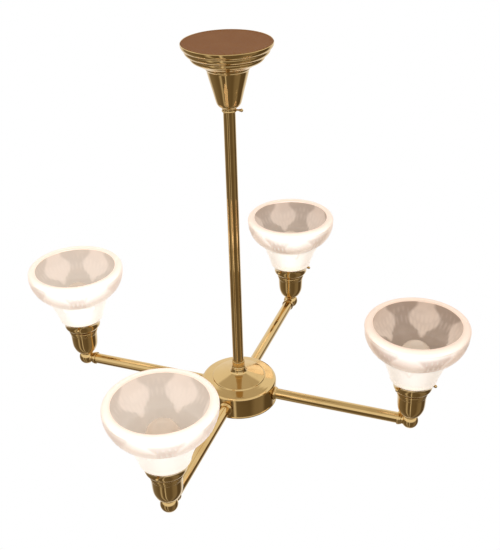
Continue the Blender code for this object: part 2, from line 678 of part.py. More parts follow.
def shade_holder(first_screw):
    """The flared holder that grips the glass, drilled for its screws."""
    outer = [
        (LAMPHOLDER_RADIUS + CLEARANCE, HOLDER_BOTTOM),
        (HOLDER_BEAD_RADIUS, HOLDER_BOTTOM),
        (HOLDER_BEAD_RADIUS, HOLDER_BOTTOM + HOLDER_BEAD_HEIGHT),
        (HOLDER_GRIP_RADIUS, HOLDER_SHOULDER_HEIGHT),
        (HOLDER_GRIP_RADIUS + HOLDER_RIM_FLARE / 2, HOLDER_TOP - HOLDER_RIM_FLARE),
        (HOLDER_RIM_RADIUS, HOLDER_TOP),
    ]
    inner = inset(outer, -HOLDER_WALL)
    inner[0] = (outer[0][0], HOLDER_BOTTOM + HOLDER_WALL)
    inner[-1] = (HOLDER_RIM_RADIUS - HOLDER_WALL, HOLDER_TOP)
    body = turned("shade_holder", outer + inner[::-1], SHADE_STEPS)
    turns = screw_turns(first_screw)
    return cut(body, *[screw_hole(SCREW_RADIUS, HOLDER_GRIP_RADIUS, turn, SCREW_HEIGHT) for turn in turns])


def lampholder():
    """The screw socket on the elbow's nipple, with a web between the wires and the bulb."""
    nipple_hole = ELBOW_NIPPLE_RADIUS + CLEARANCE
    outline = [
        (0.0, LAMPHOLDER_WEB_BOTTOM),
        (nipple_hole, LAMPHOLDER_WEB_BOTTOM),
        (nipple_hole, LAMPHOLDER_BOTTOM),
        (LAMPHOLDER_CAP_RADIUS, LAMPHOLDER_BOTTOM),
        (LAMPHOLDER_RADIUS, LAMPHOLDER_BOTTOM + LAMPHOLDER_CAP_HEIGHT),
        (LAMPHOLDER_RADIUS, LAMPHOLDER_TOP),
        (LAMPHOLDER_BORE, LAMPHOLDER_TOP),
        (LAMPHOLDER_BORE, LAMPHOLDER_FLOOR),
        (0.0, LAMPHOLDER_FLOOR),
    ]
    return turned("lampholder", outline, SHADE_STEPS, closed=False)


def bulb():
    """A hollow pear-shaped bulb in the lampholder. Its contact is left open, so it isn't sealed."""
    base_top = BULB_BOTTOM + BULB_BASE_LENGTH
    tip = BULB_BOTTOM + BULB_LENGTH
    centre = tip - BULB_RADIUS
    outer = [
        (BULB_CONTACT_RADIUS, BULB_BOTTOM),
        (BULB_BASE_RADIUS, BULB_BOTTOM + BULB_CONTACT_RADIUS),
        (BULB_BASE_RADIUS, base_top),
    ]
    outer += arc((0.0, centre), BULB_RADIUS, -30.0, 90.0, 4)
    inner = inset(outer, -BULB_WALL)
    inner[0] = (BULB_CONTACT_RADIUS - BULB_WALL, BULB_BOTTOM)
    inner[-1] = (0.0, tip - BULB_WALL)
    return turned("bulb", inner[::-1] + outer, SMALL_STEPS, closed=False)


def shade_outline(wall):
    """The glass's outer side for a wall of zero, or its inner side, from the fitter up to the mouth."""
    slope = (SHADE_WAIST_RADIUS - SHADE_FOOT_RADIUS) / SHADE_WAIST_HEIGHT
    offset = wall * math.hypot(1.0, slope)
    bell_centre = (SHADE_RADIUS - SHADE_BELL_RADIUS, SHADE_FOOT + SHADE_BELL_HEIGHT)
    bell = SHADE_BELL_RADIUS - wall
    waist = SHADE_WAIST_RADIUS - offset
    waist_turn = -math.degrees(math.acos(min((waist - bell_centre[0]) / bell, 1.0)))
    roll_centre = (SHADE_RADIUS - SHADE_ROLL_RADIUS, bell_centre[1] + SHADE_SIDE_HEIGHT)
    points = [(SHADE_FOOT_RADIUS - offset, SHADE_FOOT + wall / 2)]
    points += arc(bell_centre, bell, waist_turn, 0.0, 4)
    points += arc(roll_centre, SHADE_ROLL_RADIUS - wall, 0.0, 90.0, 2)
    return points


def glass_shade():
    """The bell shade: a fitter neck inside the holder, a cone, a round bell and a turned-in rim."""
    outer = [
        (FITTER_RADIUS, FITTER_BOTTOM),
        (FITTER_RADIUS, FITTER_BOTTOM + FITTER_LIP_HEIGHT),
        (FITTER_NECK_RADIUS, FITTER_BOTTOM + FITTER_LIP_HEIGHT),
        (FITTER_NECK_RADIUS, FITTER_NECK_TOP),
        (HOLDER_RIM_RADIUS - HOLDER_WALL - 2 * CLEARANCE, HOLDER_TOP),
    ]
    outer += shade_outline(0.0)
    top = outer[-1][1]
    lip = [(SHADE_MOUTH_RADIUS, top), (SHADE_MOUTH_RADIUS, top - SHADE_LIP)]
    inner = shade_outline(SHADE_WALL)[::-1]
    neck_bore = FITTER_NECK_RADIUS - SHADE_WALL
    inner += [(neck_bore, FITTER_NECK_TOP), (neck_bore, FITTER_BOTTOM)]
    return turned("glass_shade", outer + lip + inner, SHADE_STEPS)


def lead(name, route):
    """A round lead along the route's points."""
    curve = bpy.data.curves.new(name, "CURVE")
    curve.dimensions = "3D"
    curve.bevel_depth = LEAD_RADIUS
    curve.bevel_resolution = 1
    curve.use_fill_caps = True
    spline = curve.splines.new("POLY")
    spline.points.add(len(route) - 1)
    for point, place_on_route in zip(spline.points, route):
        point.co = (*place_on_route, 1.0)
    return curve


def arm_lead():
    """From the junction out through the arm, round the elbow and up to the lampholder."""
    reach = ARM_REACH
    start = JUNCTION_RADIUS + CLEARANCE
    runs = 4
    bend_start = reach - LEAD_BEND
    route = [(start + (bend_start - start) * i / runs, 0.0, 0.0) for i in range(runs)]
    bend = arc((bend_start, LEAD_BEND), LEAD_BEND, -90.0, 0.0, 5)
    route += [(x, 0.0, z) for x, z in bend]
    route.append((reach, 0.0, LAMPHOLDER_WEB_BOTTOM - CLEARANCE))
    return lead("arm_lead", route)


def stem_lead():
    """From the junction up the stem and out through the hickey's window."""
    bottom = JUNCTION_TOP + CLEARANCE - STEM_DROP
    bend_start = HICKEY_BOTTOM + HICKEY_BOSS_HEIGHT
    runs = 4
    route = [(0.0, 0.0, bottom + (bend_start - bottom) * i / runs) for i in range(runs)]
    bend = arc((LEAD_BEND, bend_start), LEAD_BEND, 180.0, 110.0, 4)
    route += [(0.0, y, z) for y, z in bend]
    last = Vector(route[-1])
    onward = (last - Vector(route[-2])).normalized()
    route.append(tuple(last + onward * LEAD_TAIL))
    return lead("stem_lead", route)


def build_arm(name, direction, first_screw, meshes, finishes):
    middle = anchor(f"arm_{name}_middle", None, (0.0, 0.0, -STEM_DROP), direction)
    light = anchor(f"light_{name}_axis", middle, (ARM_REACH, 0.0, 0.0))
    place(f"arm_tube_{name}", meshes["arm_tube"], finishes["brass"], middle)
    place(f"arm_wiring_{name}", meshes["arm_lead"], finishes["lead"], middle)
    place(f"elbow_{name}", meshes["elbow"], finishes["brass"], light)
    place(f"socket_cup_{name}", meshes["socket_cup"], finishes["brass"], light)
    place(f"lampholder_{name}", meshes["lampholder"], finishes["porcelain"], light)
    place(f"bulb_{name}", meshes["bulb"], finishes["bulb"], light)
    place(f"glass_shade_{name}", meshes["glass_shade"], finishes["glass"], light)
    place(f"shade_holder_{name}", shade_holder(first_screw), finishes["brass"], light)
    for number, turn in enumerate(screw_turns(first_screw), start=1):
        axis = anchor(f"holder_screw_{name}_{number}_axis", light, (0.0, 0.0, SCREW_HEIGHT), turn)
        place(f"holder_screw_{name}_{number}", meshes["holder_screw"], finishes["brass"], axis)


def main():
    for leftover in list(bpy.data.objects):
        bpy.data.objects.remove(leftover)
    brass = material("polished_brass", (0.62, 0.40, 0.13), 0.12, metallic=1.0)
    plate_finish = material("bronzed_plate", (0.26, 0.13, 0.06), 0.5, metallic=0.3)
    steel = material("zinc_steel", (0.55, 0.55, 0.53), 0.4, metallic=1.0)
    finishes = {
        "brass": brass,
        "lead": material("lead_sheath", (0.45, 0.33, 0.14), 0.5),
        "porcelain": material("glazed_porcelain", (0.85, 0.83, 0.78), 0.25),
        "bulb": material("opal_bulb_glass", (1.0, 0.95, 0.86), 0.4),
        "glass": material("satin_glass", (0.86, 0.80, 0.75), 0.45, transmission=0.6),
    }
    build_ceiling(brass, plate_finish, steel)
    build_hub(brass, steel, finishes["porcelain"])
    place("stem_wiring", stem_lead(), finishes["lead"])
    meshes = {
        "arm_tube": arm_tube(),
        "arm_lead": arm_lead(),
        "elbow": elbow(),
        "socket_cup": socket_cup(),
        "lampholder": lampholder(),
        "bulb": bulb(),
        "glass_shade": glass_shade(),
        "holder_screw": thumbscrew(
            "holder_screw", SCREW_RADIUS, SCREW_TIP, SCREW_SEAT, SCREW_NECK_LENGTH, SCREW_HEAD_RADIUS
        ),
    }
    for name, direction, first_screw in ARMS:
        build_arm(name, direction, first_screw, meshes, finishes)


main()
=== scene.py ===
"""The looks of a four-light brass chandelier with bell shades of pressed satin glass.

Each sub-assembly is a class that holds its sizes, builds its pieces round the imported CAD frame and
dresses them. Sizes are in millimetres, as on a workshop drawing, and places come from the frame.
Outlines are lists of (radius, height) points about an upright axis.
"""

import json
import logging
import math
from dataclasses import dataclass, field
from enum import Enum

import bpy
import numpy as np
from mathutils import Matrix, Quaternion, Vector


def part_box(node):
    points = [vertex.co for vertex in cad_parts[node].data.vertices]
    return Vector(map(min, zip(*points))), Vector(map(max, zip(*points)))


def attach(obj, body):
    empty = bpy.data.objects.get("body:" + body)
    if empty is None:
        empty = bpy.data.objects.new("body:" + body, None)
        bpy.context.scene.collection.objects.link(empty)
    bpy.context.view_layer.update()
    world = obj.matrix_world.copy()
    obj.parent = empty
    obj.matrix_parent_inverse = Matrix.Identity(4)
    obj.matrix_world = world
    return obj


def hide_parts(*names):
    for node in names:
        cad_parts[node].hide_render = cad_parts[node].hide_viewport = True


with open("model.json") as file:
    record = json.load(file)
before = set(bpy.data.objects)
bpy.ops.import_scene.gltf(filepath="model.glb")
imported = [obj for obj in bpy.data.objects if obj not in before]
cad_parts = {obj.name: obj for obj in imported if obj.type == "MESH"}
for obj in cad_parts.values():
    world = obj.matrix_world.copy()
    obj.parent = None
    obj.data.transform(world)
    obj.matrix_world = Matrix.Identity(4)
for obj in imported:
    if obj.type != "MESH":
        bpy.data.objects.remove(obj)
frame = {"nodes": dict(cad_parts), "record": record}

Point = tuple[float, float]
Corner = tuple[float, float, float]
Colour = tuple[float, float, float, float]
Piece = bpy.types.Object
Finish = bpy.types.Material
Effect = bpy.types.NodeTree
Node = bpy.types.Node
Socket = bpy.types.NodeSocket

MM = 0.001
TURN_STEPS = 96
SMALL_STEPS = 48
MERGE = 1e-7

log = logging.getLogger("chandelier")


class Slot(Enum):
    """The record's material slots."""

    BRASS = "polished_brass"
    PLATE = "bronzed_plate"
    STEEL = "zinc_steel"
    LEAD = "lead_sheath"
    PORCELAIN = "glazed_porcelain"
    BULB = "opal_bulb_glass"
    GLASS = "satin_glass"


# ---- Outlines ----------------------------------------------------------------------------------


def eased(corners: list[Corner], closed: bool = False, steps: int = 5) -> list[Point]:
    """Rounds the corners of an outline.

    Args:
        corners: (radius, height, cut) points, where the cut is how far the rounding starts from
            the corner. A cut of zero keeps the corner sharp.
        closed: whether the last corner joins the first.
        steps: points along each rounding.

    Returns:
        The outline's points.
    """
    points: list[Point] = []
    count = len(corners)
    for index, (radius, height, cut) in enumerate(corners):
        here = Vector((radius, height))
        if cut <= 0 or (not closed and index in (0, count - 1)):
            points.append((radius, height))
            continue
        before = Vector(corners[index - 1][:2]) - here
        after = Vector(corners[(index + 1) % count][:2]) - here
        start = here + before.normalized() * min(cut, 0.48 * before.length)
        end = here + after.normalized() * min(cut, 0.48 * after.length)
        for step in range(steps + 1):
            t = step / steps
            spot = start * (1 - t) ** 2 + here * 2 * t * (1 - t) + end * t**2
            points.append((spot.x, spot.y))
    return points


def flowing(points: list[Point], steps: int = 4) -> list[Point]:
    """A smooth curve through all of the points, with `steps` stretches between each two."""
    ends = [points[0], *points, points[-1]]
    curve: list[Point] = []
    for a, b, c, d in zip(ends, ends[1:], ends[2:], ends[3:]):
        for step in range(steps):
            t = step / steps
            weights = (
                -0.5 * t + t * t - 0.5 * t**3,
                1 - 2.5 * t * t + 1.5 * t**3,
                0.5 * t + 2 * t * t - 1.5 * t**3,
                -0.5 * t * t + 0.5 * t**3,
            )
            curve.append(tuple(sum(w * p[axis] for w, p in zip(weights, (a, b, c, d))) for axis in (0, 1)))
    curve.append(points[-1])
    return curve


def arc(centre: Point, radius: float, start: float, end: float, steps: int) -> list[Point]:
    """Points on a circle, with its angles in degrees from outward to up."""
    turns = [math.radians(start + (end - start) * step / steps) for step in range(steps + 1)]
    return [(centre[0] + radius * math.cos(t), centre[1] + radius * math.sin(t)) for t in turns]


def inward(outline: list[Point], wall: float) -> list[Point]:
    """The same open outline, moved to its left by the wall."""
    moved: list[Point] = []
    for index, point in enumerate(outline):
        ahead = Vector(outline[min(index + 1, len(outline) - 1)]) - Vector(outline[max(index - 1, 0)])
        side = Vector((-ahead.y, ahead.x)).normalized() * wall
        moved.append((point[0] + side.x, point[1] + side.y))
    return moved


# ---- Workshop ----------------------------------------------------------------------------------


def nothing_selected() -> None:
    """Leaves edit mode and deselects every object."""
    if bpy.context.object and bpy.context.object.mode != "OBJECT":
        bpy.ops.object.mode_set(mode="OBJECT")
    bpy.ops.object.select_all(action="DESELECT")


def turned(
    name: str, outline: list[Point], closed: bool = False, steps: int = TURN_STEPS, smooth: float = 38.0,
) -> Piece:
    """Turns an outline about the upright axis, as on a lathe.

    Args:
        name: the piece's name.
        outline: its points, in millimetres.
        closed: whether the outline's last point joins its first. An open one ends on the axis.
        steps: faces round the piece.
        smooth: edges flatter than this many degrees are shaded smooth.

    Returns:
        The piece, which is one closed surface.
    """
    nothing_selected()
    points = [(radius * MM, height * MM) for radius, height in outline]
    if closed:
        points.append(points[0])
    bpy.ops.mesh.primitive_plane_add(size=MM, location=(0.0, 0.0, 0.0))
    piece = bpy.context.object
    piece.name = piece.data.name = name
    bpy.ops.object.mode_set(mode="EDIT")
    bpy.ops.mesh.select_all(action="SELECT")
    bpy.ops.mesh.merge(type="CENTER")
    bpy.ops.transform.translate(value=(points[0][0], 0.0, points[0][1]))
    for here, there in zip(points, points[1:]):
        move = (there[0] - here[0], 0.0, there[1] - here[1])
        bpy.ops.mesh.extrude_region_move(TRANSFORM_OT_translate={"value": move})
    bpy.ops.mesh.select_all(action="SELECT")
    bpy.ops.mesh.spin(steps=steps, angle=2 * math.pi, center=(0.0, 0.0, 0.0), axis=(0.0, 0.0, 1.0))
    bpy.ops.mesh.select_all(action="SELECT")
    bpy.ops.mesh.remove_doubles(threshold=MERGE)
    bpy.ops.mesh.normals_make_consistent(inside=False)
    bpy.ops.object.mode_set(mode="OBJECT")
    bpy.ops.object.shade_smooth_by_angle(angle=math.radians(smooth))
    return piece


def moved(piece: Piece, place: Matrix) -> Piece:
    """Puts the place into the piece's mesh, so its object stays at the origin."""
    piece.data.transform(place)
    piece.data.update()
    return piece


def copied(piece: Piece, name: str, place: Matrix) -> Piece:
    """A copy with its own mesh, at its own place."""
    nothing_selected()
    piece.select_set(True)
    bpy.context.view_layer.objects.active = piece
    bpy.ops.object.duplicate(linked=False)
    twin = bpy.context.object
    twin.name = twin.data.name = name
    return moved(twin, place)


def scrapped(*pieces: Piece) -> None:
    """Removes patterns and cutters that are no longer needed."""
    for piece in pieces:
        bpy.data.objects.remove(piece)


def carved(piece: Piece, tools: list[Piece], operation: str = "DIFFERENCE", smooth: float = 38.0) -> Piece:
    """Cuts each tool out of the piece, or joins it on, and removes the tools."""
    for tool in tools:
        nothing_selected()
        piece.select_set(True)
        bpy.context.view_layer.objects.active = piece
        change = piece.modifiers.new("carve", "BOOLEAN")
        change.operation, change.object, change.solver = operation, tool, "EXACT"
        bpy.ops.object.modifier_apply(modifier=change.name)
    bpy.ops.object.shade_smooth_by_angle(angle=math.radians(smooth))
    scrapped(*tools)
    return piece


def along_x(piece: Piece) -> Piece:
    """Lays an upright piece down, so that its top points along +X."""
    return moved(piece, Vector((0, 0, 1)).rotation_difference(Vector((1, 0, 0))).to_matrix().to_4x4())


def drill(name: str, radius: float, start: float, end: float, steps: int = 24) -> Piece:
    """A round cutter along +X, from start to end in millimetres."""
    return along_x(turned(name, [(0.0, start), (radius, start), (radius, end), (0.0, end)], steps=steps))


def dressed(piece: Piece, finish: Finish, slot: Slot, body: str, *nodes: str) -> Piece:
    """Gives a new piece its finish and its body, and hides the CAD nodes that it stands for."""
    if not piece.data.materials:
        piece.data.materials.append(finish)
    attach(piece, body)
    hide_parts(*nodes)
    log.info("%s: %d faces, rides on %s", piece.name, len(piece.data.polygons), body)
    return piece


def refinished(node: str, finish: Finish) -> None:
    """Gives a CAD node that stays in view its finish."""
    shown = frame["nodes"][node]
    for place in shown.material_slots:
        place.material = finish
    log.info("%s: kept, with finish %s", node, finish.name)


# ---- Node sheets -------------------------------------------------------------------------------


class Sheet:
    """Places and joins the nodes of one shader tree."""

    def __init__(self, tree: Effect) -> None:
        """Starts on the tree as it is."""
        self.tree = tree

    def add(self, kind: str, **settings: object) -> Node:
        """Adds one node and sets its properties."""
        node = self.tree.nodes.new(kind)
        for name, value in settings.items():
            setattr(node, name, value)
        return node

    def join(self, source: Socket, target: Socket) -> None:
        """Links one output to one input."""
        self.tree.links.new(source, target)

    def feed(self, target: Socket, value: object) -> None:
        """Links an output to a socket, or sets the socket to a constant."""
        if isinstance(value, Socket):
            self.join(value, target)
        else:
            target.default_value = value

    def fix(self, node: Node, label: str, value: object) -> None:
        """Sets one of a node's inputs to a constant."""
        node.inputs[label].default_value = value

    def math(self, operation: str, first: object, second: object = 0.0, clamp: bool = False) -> Socket:
        """One calculation on values or outputs."""
        node = self.add("ShaderNodeMath", operation=operation, use_clamp=clamp)
        self.feed(node.inputs[0], first)
        self.feed(node.inputs[1], second)
        return node.outputs[0]

    def between(
        self, value: Socket, low: float, high: float, start: float = 0.0, end: float = 1.0,
    ) -> Socket:
        """Maps a value from low..high to start..end with soft ends."""
        node = self.add("ShaderNodeMapRange", interpolation_type="SMOOTHSTEP")
        for socket, setting in zip(node.inputs, (value, low, high, start, end)):
            self.feed(socket, setting)
        return node.outputs[0]

    def blend(self, share: object, first: object, second: object) -> Socket:
        """Mixes two colours."""
        node = self.add("ShaderNodeMix", data_type="RGBA")
        self.feed(node.inputs[0], share)
        self.feed(node.inputs[6], first)
        self.feed(node.inputs[7], second)
        return node.outputs[2]

    def noise(self, where: Socket, scale: float, detail: float = 2.0, rough: float = 0.5) -> Socket:
        """A soft noise value over the piece."""
        node = self.add("ShaderNodeTexNoise")
        self.join(where, node.inputs["Vector"])
        self.fix(node, "Scale", scale)
        self.fix(node, "Detail", detail)
        self.fix(node, "Roughness", rough)
        return node.outputs["Fac"]

    def stretched(self, where: Socket, scale: Corner) -> Socket:
        """The same coordinates, drawn out along an axis."""
        node = self.add("ShaderNodeMapping")
        self.join(where, node.inputs["Vector"])
        self.fix(node, "Scale", scale)
        return node.outputs["Vector"]

    def ramp(self, value: Socket, stops: list[tuple[float, float]], blend: str = "EASE") -> Socket:
        """A ramp with one stop for each (place, brightness), which warms as it darkens."""
        node = self.add("ShaderNodeValToRGB")
        band = node.color_ramp
        band.interpolation = blend
        while len(band.elements) < len(stops):
            band.elements.new(0.5)
        for element, (place, grey) in zip(band.elements, stops):
            element.position = place
            element.color = (grey, grey**1.12, grey**1.35, 1.0)
        self.join(value, node.inputs["Fac"])
        return node.outputs["Color"]


def new_group(name: str, inputs: dict[str, float], outputs: list[str]) -> tuple[Effect, Sheet, Node, Node]:
    """Starts a node group of plain values.

    Args:
        name: the effect's name.
        inputs: each input's name and its usual value.
        outputs: the outputs' names.

    Returns:
        The group, a sheet on it, and its input and output nodes.
    """
    group = bpy.data.node_groups.new(name, "ShaderNodeTree")
    for label, usual in inputs.items():
        socket = group.interface.new_socket(name=label, in_out="INPUT", socket_type="NodeSocketFloat")
        socket.default_value = usual
    for label in outputs:
        group.interface.new_socket(name=label, in_out="OUTPUT", socket_type="NodeSocketFloat")
    sheet = Sheet(group)
    return group, sheet, sheet.add("NodeGroupInput"), sheet.add("NodeGroupOutput")


def handling_marks() -> Effect:
    """Wipe marks, hairline scratches and specks of dust on a smooth surface."""
    group, sheet, given, made = new_group(
        "handling_marks", {"Scale": 60.0, "Amount": 1.0}, ["Smear", "Scratch", "Speck"],
    )
    where = sheet.add("ShaderNodeTexCoord").outputs["Object"]
    smear = sheet.add("ShaderNodeTexNoise")
    sheet.join(sheet.stretched(where, (1.0, 1.0, 0.35)), smear.inputs["Vector"])
    sheet.join(given.outputs["Scale"], smear.inputs["Scale"])
    sheet.fix(smear, "Detail", 4.0)
    soft = sheet.between(smear.outputs["Fac"], 0.42, 0.68)
    scratch = sheet.noise(sheet.stretched(where, (1.0, 1.0, 14.0)), 260.0, 3.0, 0.65)
    hair = sheet.between(scratch, 0.62, 0.72)
    speck = sheet.between(sheet.noise(where, 1400.0, 1.0), 0.74, 0.80)
    sheet.join(sheet.math("MULTIPLY", soft, given.outputs["Amount"]), made.inputs["Smear"])
    sheet.join(sheet.math("MULTIPLY", hair, given.outputs["Amount"]), made.inputs["Scratch"])
    sheet.join(sheet.math("MULTIPLY", speck, given.outputs["Amount"]), made.inputs["Speck"])
    return group


def fired_ripple() -> Effect:
    """The slow ripple and fine bite of pressed, glazed or moulded surfaces."""
    group, sheet, given, made = new_group("fired_ripple", {"Ripple": 45.0, "Bite": 900.0}, ["Slow", "Fine"])
    where = sheet.add("ShaderNodeTexCoord").outputs["Object"]
    for scale, label in (("Ripple", "Slow"), ("Bite", "Fine")):
        noise = sheet.add("ShaderNodeTexNoise")
        sheet.join(where, noise.inputs["Vector"])
        sheet.join(given.outputs[scale], noise.inputs["Scale"])
        sheet.fix(noise, "Detail", 3.0)
        sheet.join(noise.outputs["Fac"], made.inputs[label])
    return group


def new_finish(name: str) -> tuple[Finish, Sheet, Node]:
    """A material with its node sheet and its Principled shader."""
    finish = bpy.data.materials.new(name)
    finish.use_nodes = True
    return finish, Sheet(finish.node_tree), finish.node_tree.nodes["Principled BSDF"]


def placed_group(sheet: Sheet, group: Effect, **values: float) -> Node:
    """Places a shared effect in a material, with its own values."""
    node = sheet.add("ShaderNodeGroup", node_tree=group)
    for label, value in values.items():
        node.inputs[label].default_value = value
    return node


def bumped(sheet: Sheet, shader: Node, height: Socket, strength: float, distance: float) -> None:
    """Feeds a height to the shader's normal."""
    bump = sheet.add("ShaderNodeBump")
    sheet.fix(bump, "Strength", strength)
    sheet.fix(bump, "Distance", distance)
    sheet.join(height, bump.inputs["Height"])
    sheet.join(bump.outputs["Normal"], shader.inputs["Normal"])


# ---- Finishes ----------------------------------------------------------------------------------


@dataclass(frozen=True)
class PolishedBrass:
    """Buffed brass under a clear lacquer."""

    colour: Colour = (0.66, 0.455, 0.195, 1.0)
    deep: Colour = (0.55, 0.345, 0.125, 1.0)
    roughness: float = 0.055

    def build(self, marks: Effect) -> Finish:
        """Makes the material from the shared marks."""
        finish, sheet, shader = new_finish("polished_brass_lacquered")
        worn = placed_group(sheet, marks, Scale=48.0, Amount=1.0)
        where = sheet.add("ShaderNodeTexCoord").outputs["Object"]
        tarnish = sheet.between(sheet.noise(where, 22.0, 4.0, 0.6), 0.45, 0.75, 0.0, 0.55)
        speckled = sheet.blend(
            sheet.math("MULTIPLY", worn.outputs["Speck"], 0.3),
            sheet.blend(tarnish, self.colour, self.deep), (0.30, 0.17, 0.06, 1.0),
        )
        sheet.join(speckled, shader.inputs["Base Color"])
        sheet.fix(shader, "Metallic", 1.0)
        haze = sheet.math("MULTIPLY", worn.outputs["Smear"], 0.05)
        hair = sheet.math("MULTIPLY", worn.outputs["Scratch"], 0.05)
        sheet.join(
            sheet.math("ADD", sheet.math("ADD", haze, hair), self.roughness), shader.inputs["Roughness"],
        )
        sheet.fix(shader, "Coat Weight", 0.10)
        sheet.fix(shader, "Coat Roughness", 0.06)
        bumped(
            sheet, shader,
            sheet.math(
                "SUBTRACT", worn.outputs["Smear"], sheet.math("MULTIPLY", worn.outputs["Scratch"], 0.12),
            ),
            0.05, 0.0002,
        )
        return finish


@dataclass(frozen=True)
class BronzedPlate:
    """Satin bronze paint on the steel mounting plate."""

    colour: Colour = (0.258, 0.104, 0.032, 1.0)
    worn: Colour = (0.285, 0.124, 0.042, 1.0)

    def build(self, marks: Effect) -> Finish:
        """Makes the material from the shared marks."""
        finish, sheet, shader = new_finish("satin_bronze_paint")
        used = placed_group(sheet, marks, Scale=30.0, Amount=0.8)
        where = sheet.add("ShaderNodeTexCoord").outputs["Object"]
        grain = sheet.noise(where, 1500.0, 2.0)
        sheet.join(
            sheet.blend(sheet.math("MULTIPLY", used.outputs["Smear"], 0.6), self.colour, self.worn),
            shader.inputs["Base Color"],
        )
        sheet.fix(shader, "Specular IOR Level", 0.05)
        sheet.join(sheet.between(grain, 0.3, 0.7, 0.50, 0.66), shader.inputs["Roughness"])
        bumped(sheet, shader, grain, 0.10, 0.0001)
        return finish


@dataclass(frozen=True)
class PlainMetal:
    """A bright metal with wipe marks and hairline scratches."""

    name: str
    bright: Colour
    dull: Colour
    marks_scale: float
    haze: float
    roughness: float
    scratch_depth: float

    def build(self, marks: Effect) -> Finish:
        """Makes the material from the shared marks."""
        finish, sheet, shader = new_finish(self.name)
        used = placed_group(sheet, marks, Scale=self.marks_scale, Amount=1.0)
        colour = sheet.blend(used.outputs["Smear"], self.bright, self.dull)
        sheet.join(colour, shader.inputs["Base Color"])
        sheet.fix(shader, "Metallic", 1.0)
        haze = sheet.math("MULTIPLY", used.outputs["Smear"], self.haze)
        sheet.join(sheet.math("ADD", haze, self.roughness), shader.inputs["Roughness"])
        bumped(sheet, shader, used.outputs["Scratch"], self.scratch_depth, 0.0002)
        return finish


@dataclass(frozen=True)
class GlossySkin:
    """A glaze or a clear insulation: two near colours under a gloss with a slow ripple."""

    name: str
    first: Colour
    second: Colour
    ripple_scale: float
    bite_scale: float
    smooth: float
    rough: float
    coat: float
    depth: float
    relief: float

    def build(self, ripple: Effect) -> Finish:
        """Makes the material from the shared ripple."""
        finish, sheet, shader = new_finish(self.name)
        skin = placed_group(sheet, ripple, Ripple=self.ripple_scale, Bite=self.bite_scale)
        sheet.join(sheet.blend(skin.outputs["Slow"], self.first, self.second), shader.inputs["Base Color"])
        bite = sheet.between(skin.outputs["Fine"], 0.3, 0.7, self.smooth, self.rough)
        sheet.join(bite, shader.inputs["Roughness"])
        sheet.fix(shader, "Coat Weight", self.coat)
        bumped(sheet, shader, skin.outputs["Slow"], self.depth, self.relief)
        return finish


@dataclass(frozen=True)
class OpalBulb:
    """The bulb's frosted glass, with a faint light inside, its colour darkened to taupe as painted shade
    inside the bowl.
    """

    glow: float = 0.18

    def build(self, ripple: Effect) -> Finish:
        """Makes the material from the shared ripple."""
        finish, sheet, shader = new_finish("opal_bulb_glass_lit")
        frost = placed_group(sheet, ripple, Ripple=60.0, Bite=1600.0)
        # Taupe rather than white frosted glass: painted shade inside the glass bowl.
        sheet.join(
            sheet.blend(frost.outputs["Slow"], (0.72, 0.62, 0.53, 1.0), (0.58, 0.48, 0.39, 1.0)),
            shader.inputs["Base Color"],
        )
        sheet.join(sheet.between(frost.outputs["Fine"], 0.3, 0.7, 0.16, 0.24), shader.inputs["Roughness"])
        sheet.fix(shader, "Transmission Weight", 0.35)
        sheet.join(
            sheet.blend(frost.outputs["Slow"], (1.0, 0.88, 0.72, 1.0), (0.85, 0.70, 0.56, 1.0)),
            shader.inputs["Emission Color"],
        )
        sheet.fix(shader, "Emission Strength", self.glow)
        return finish


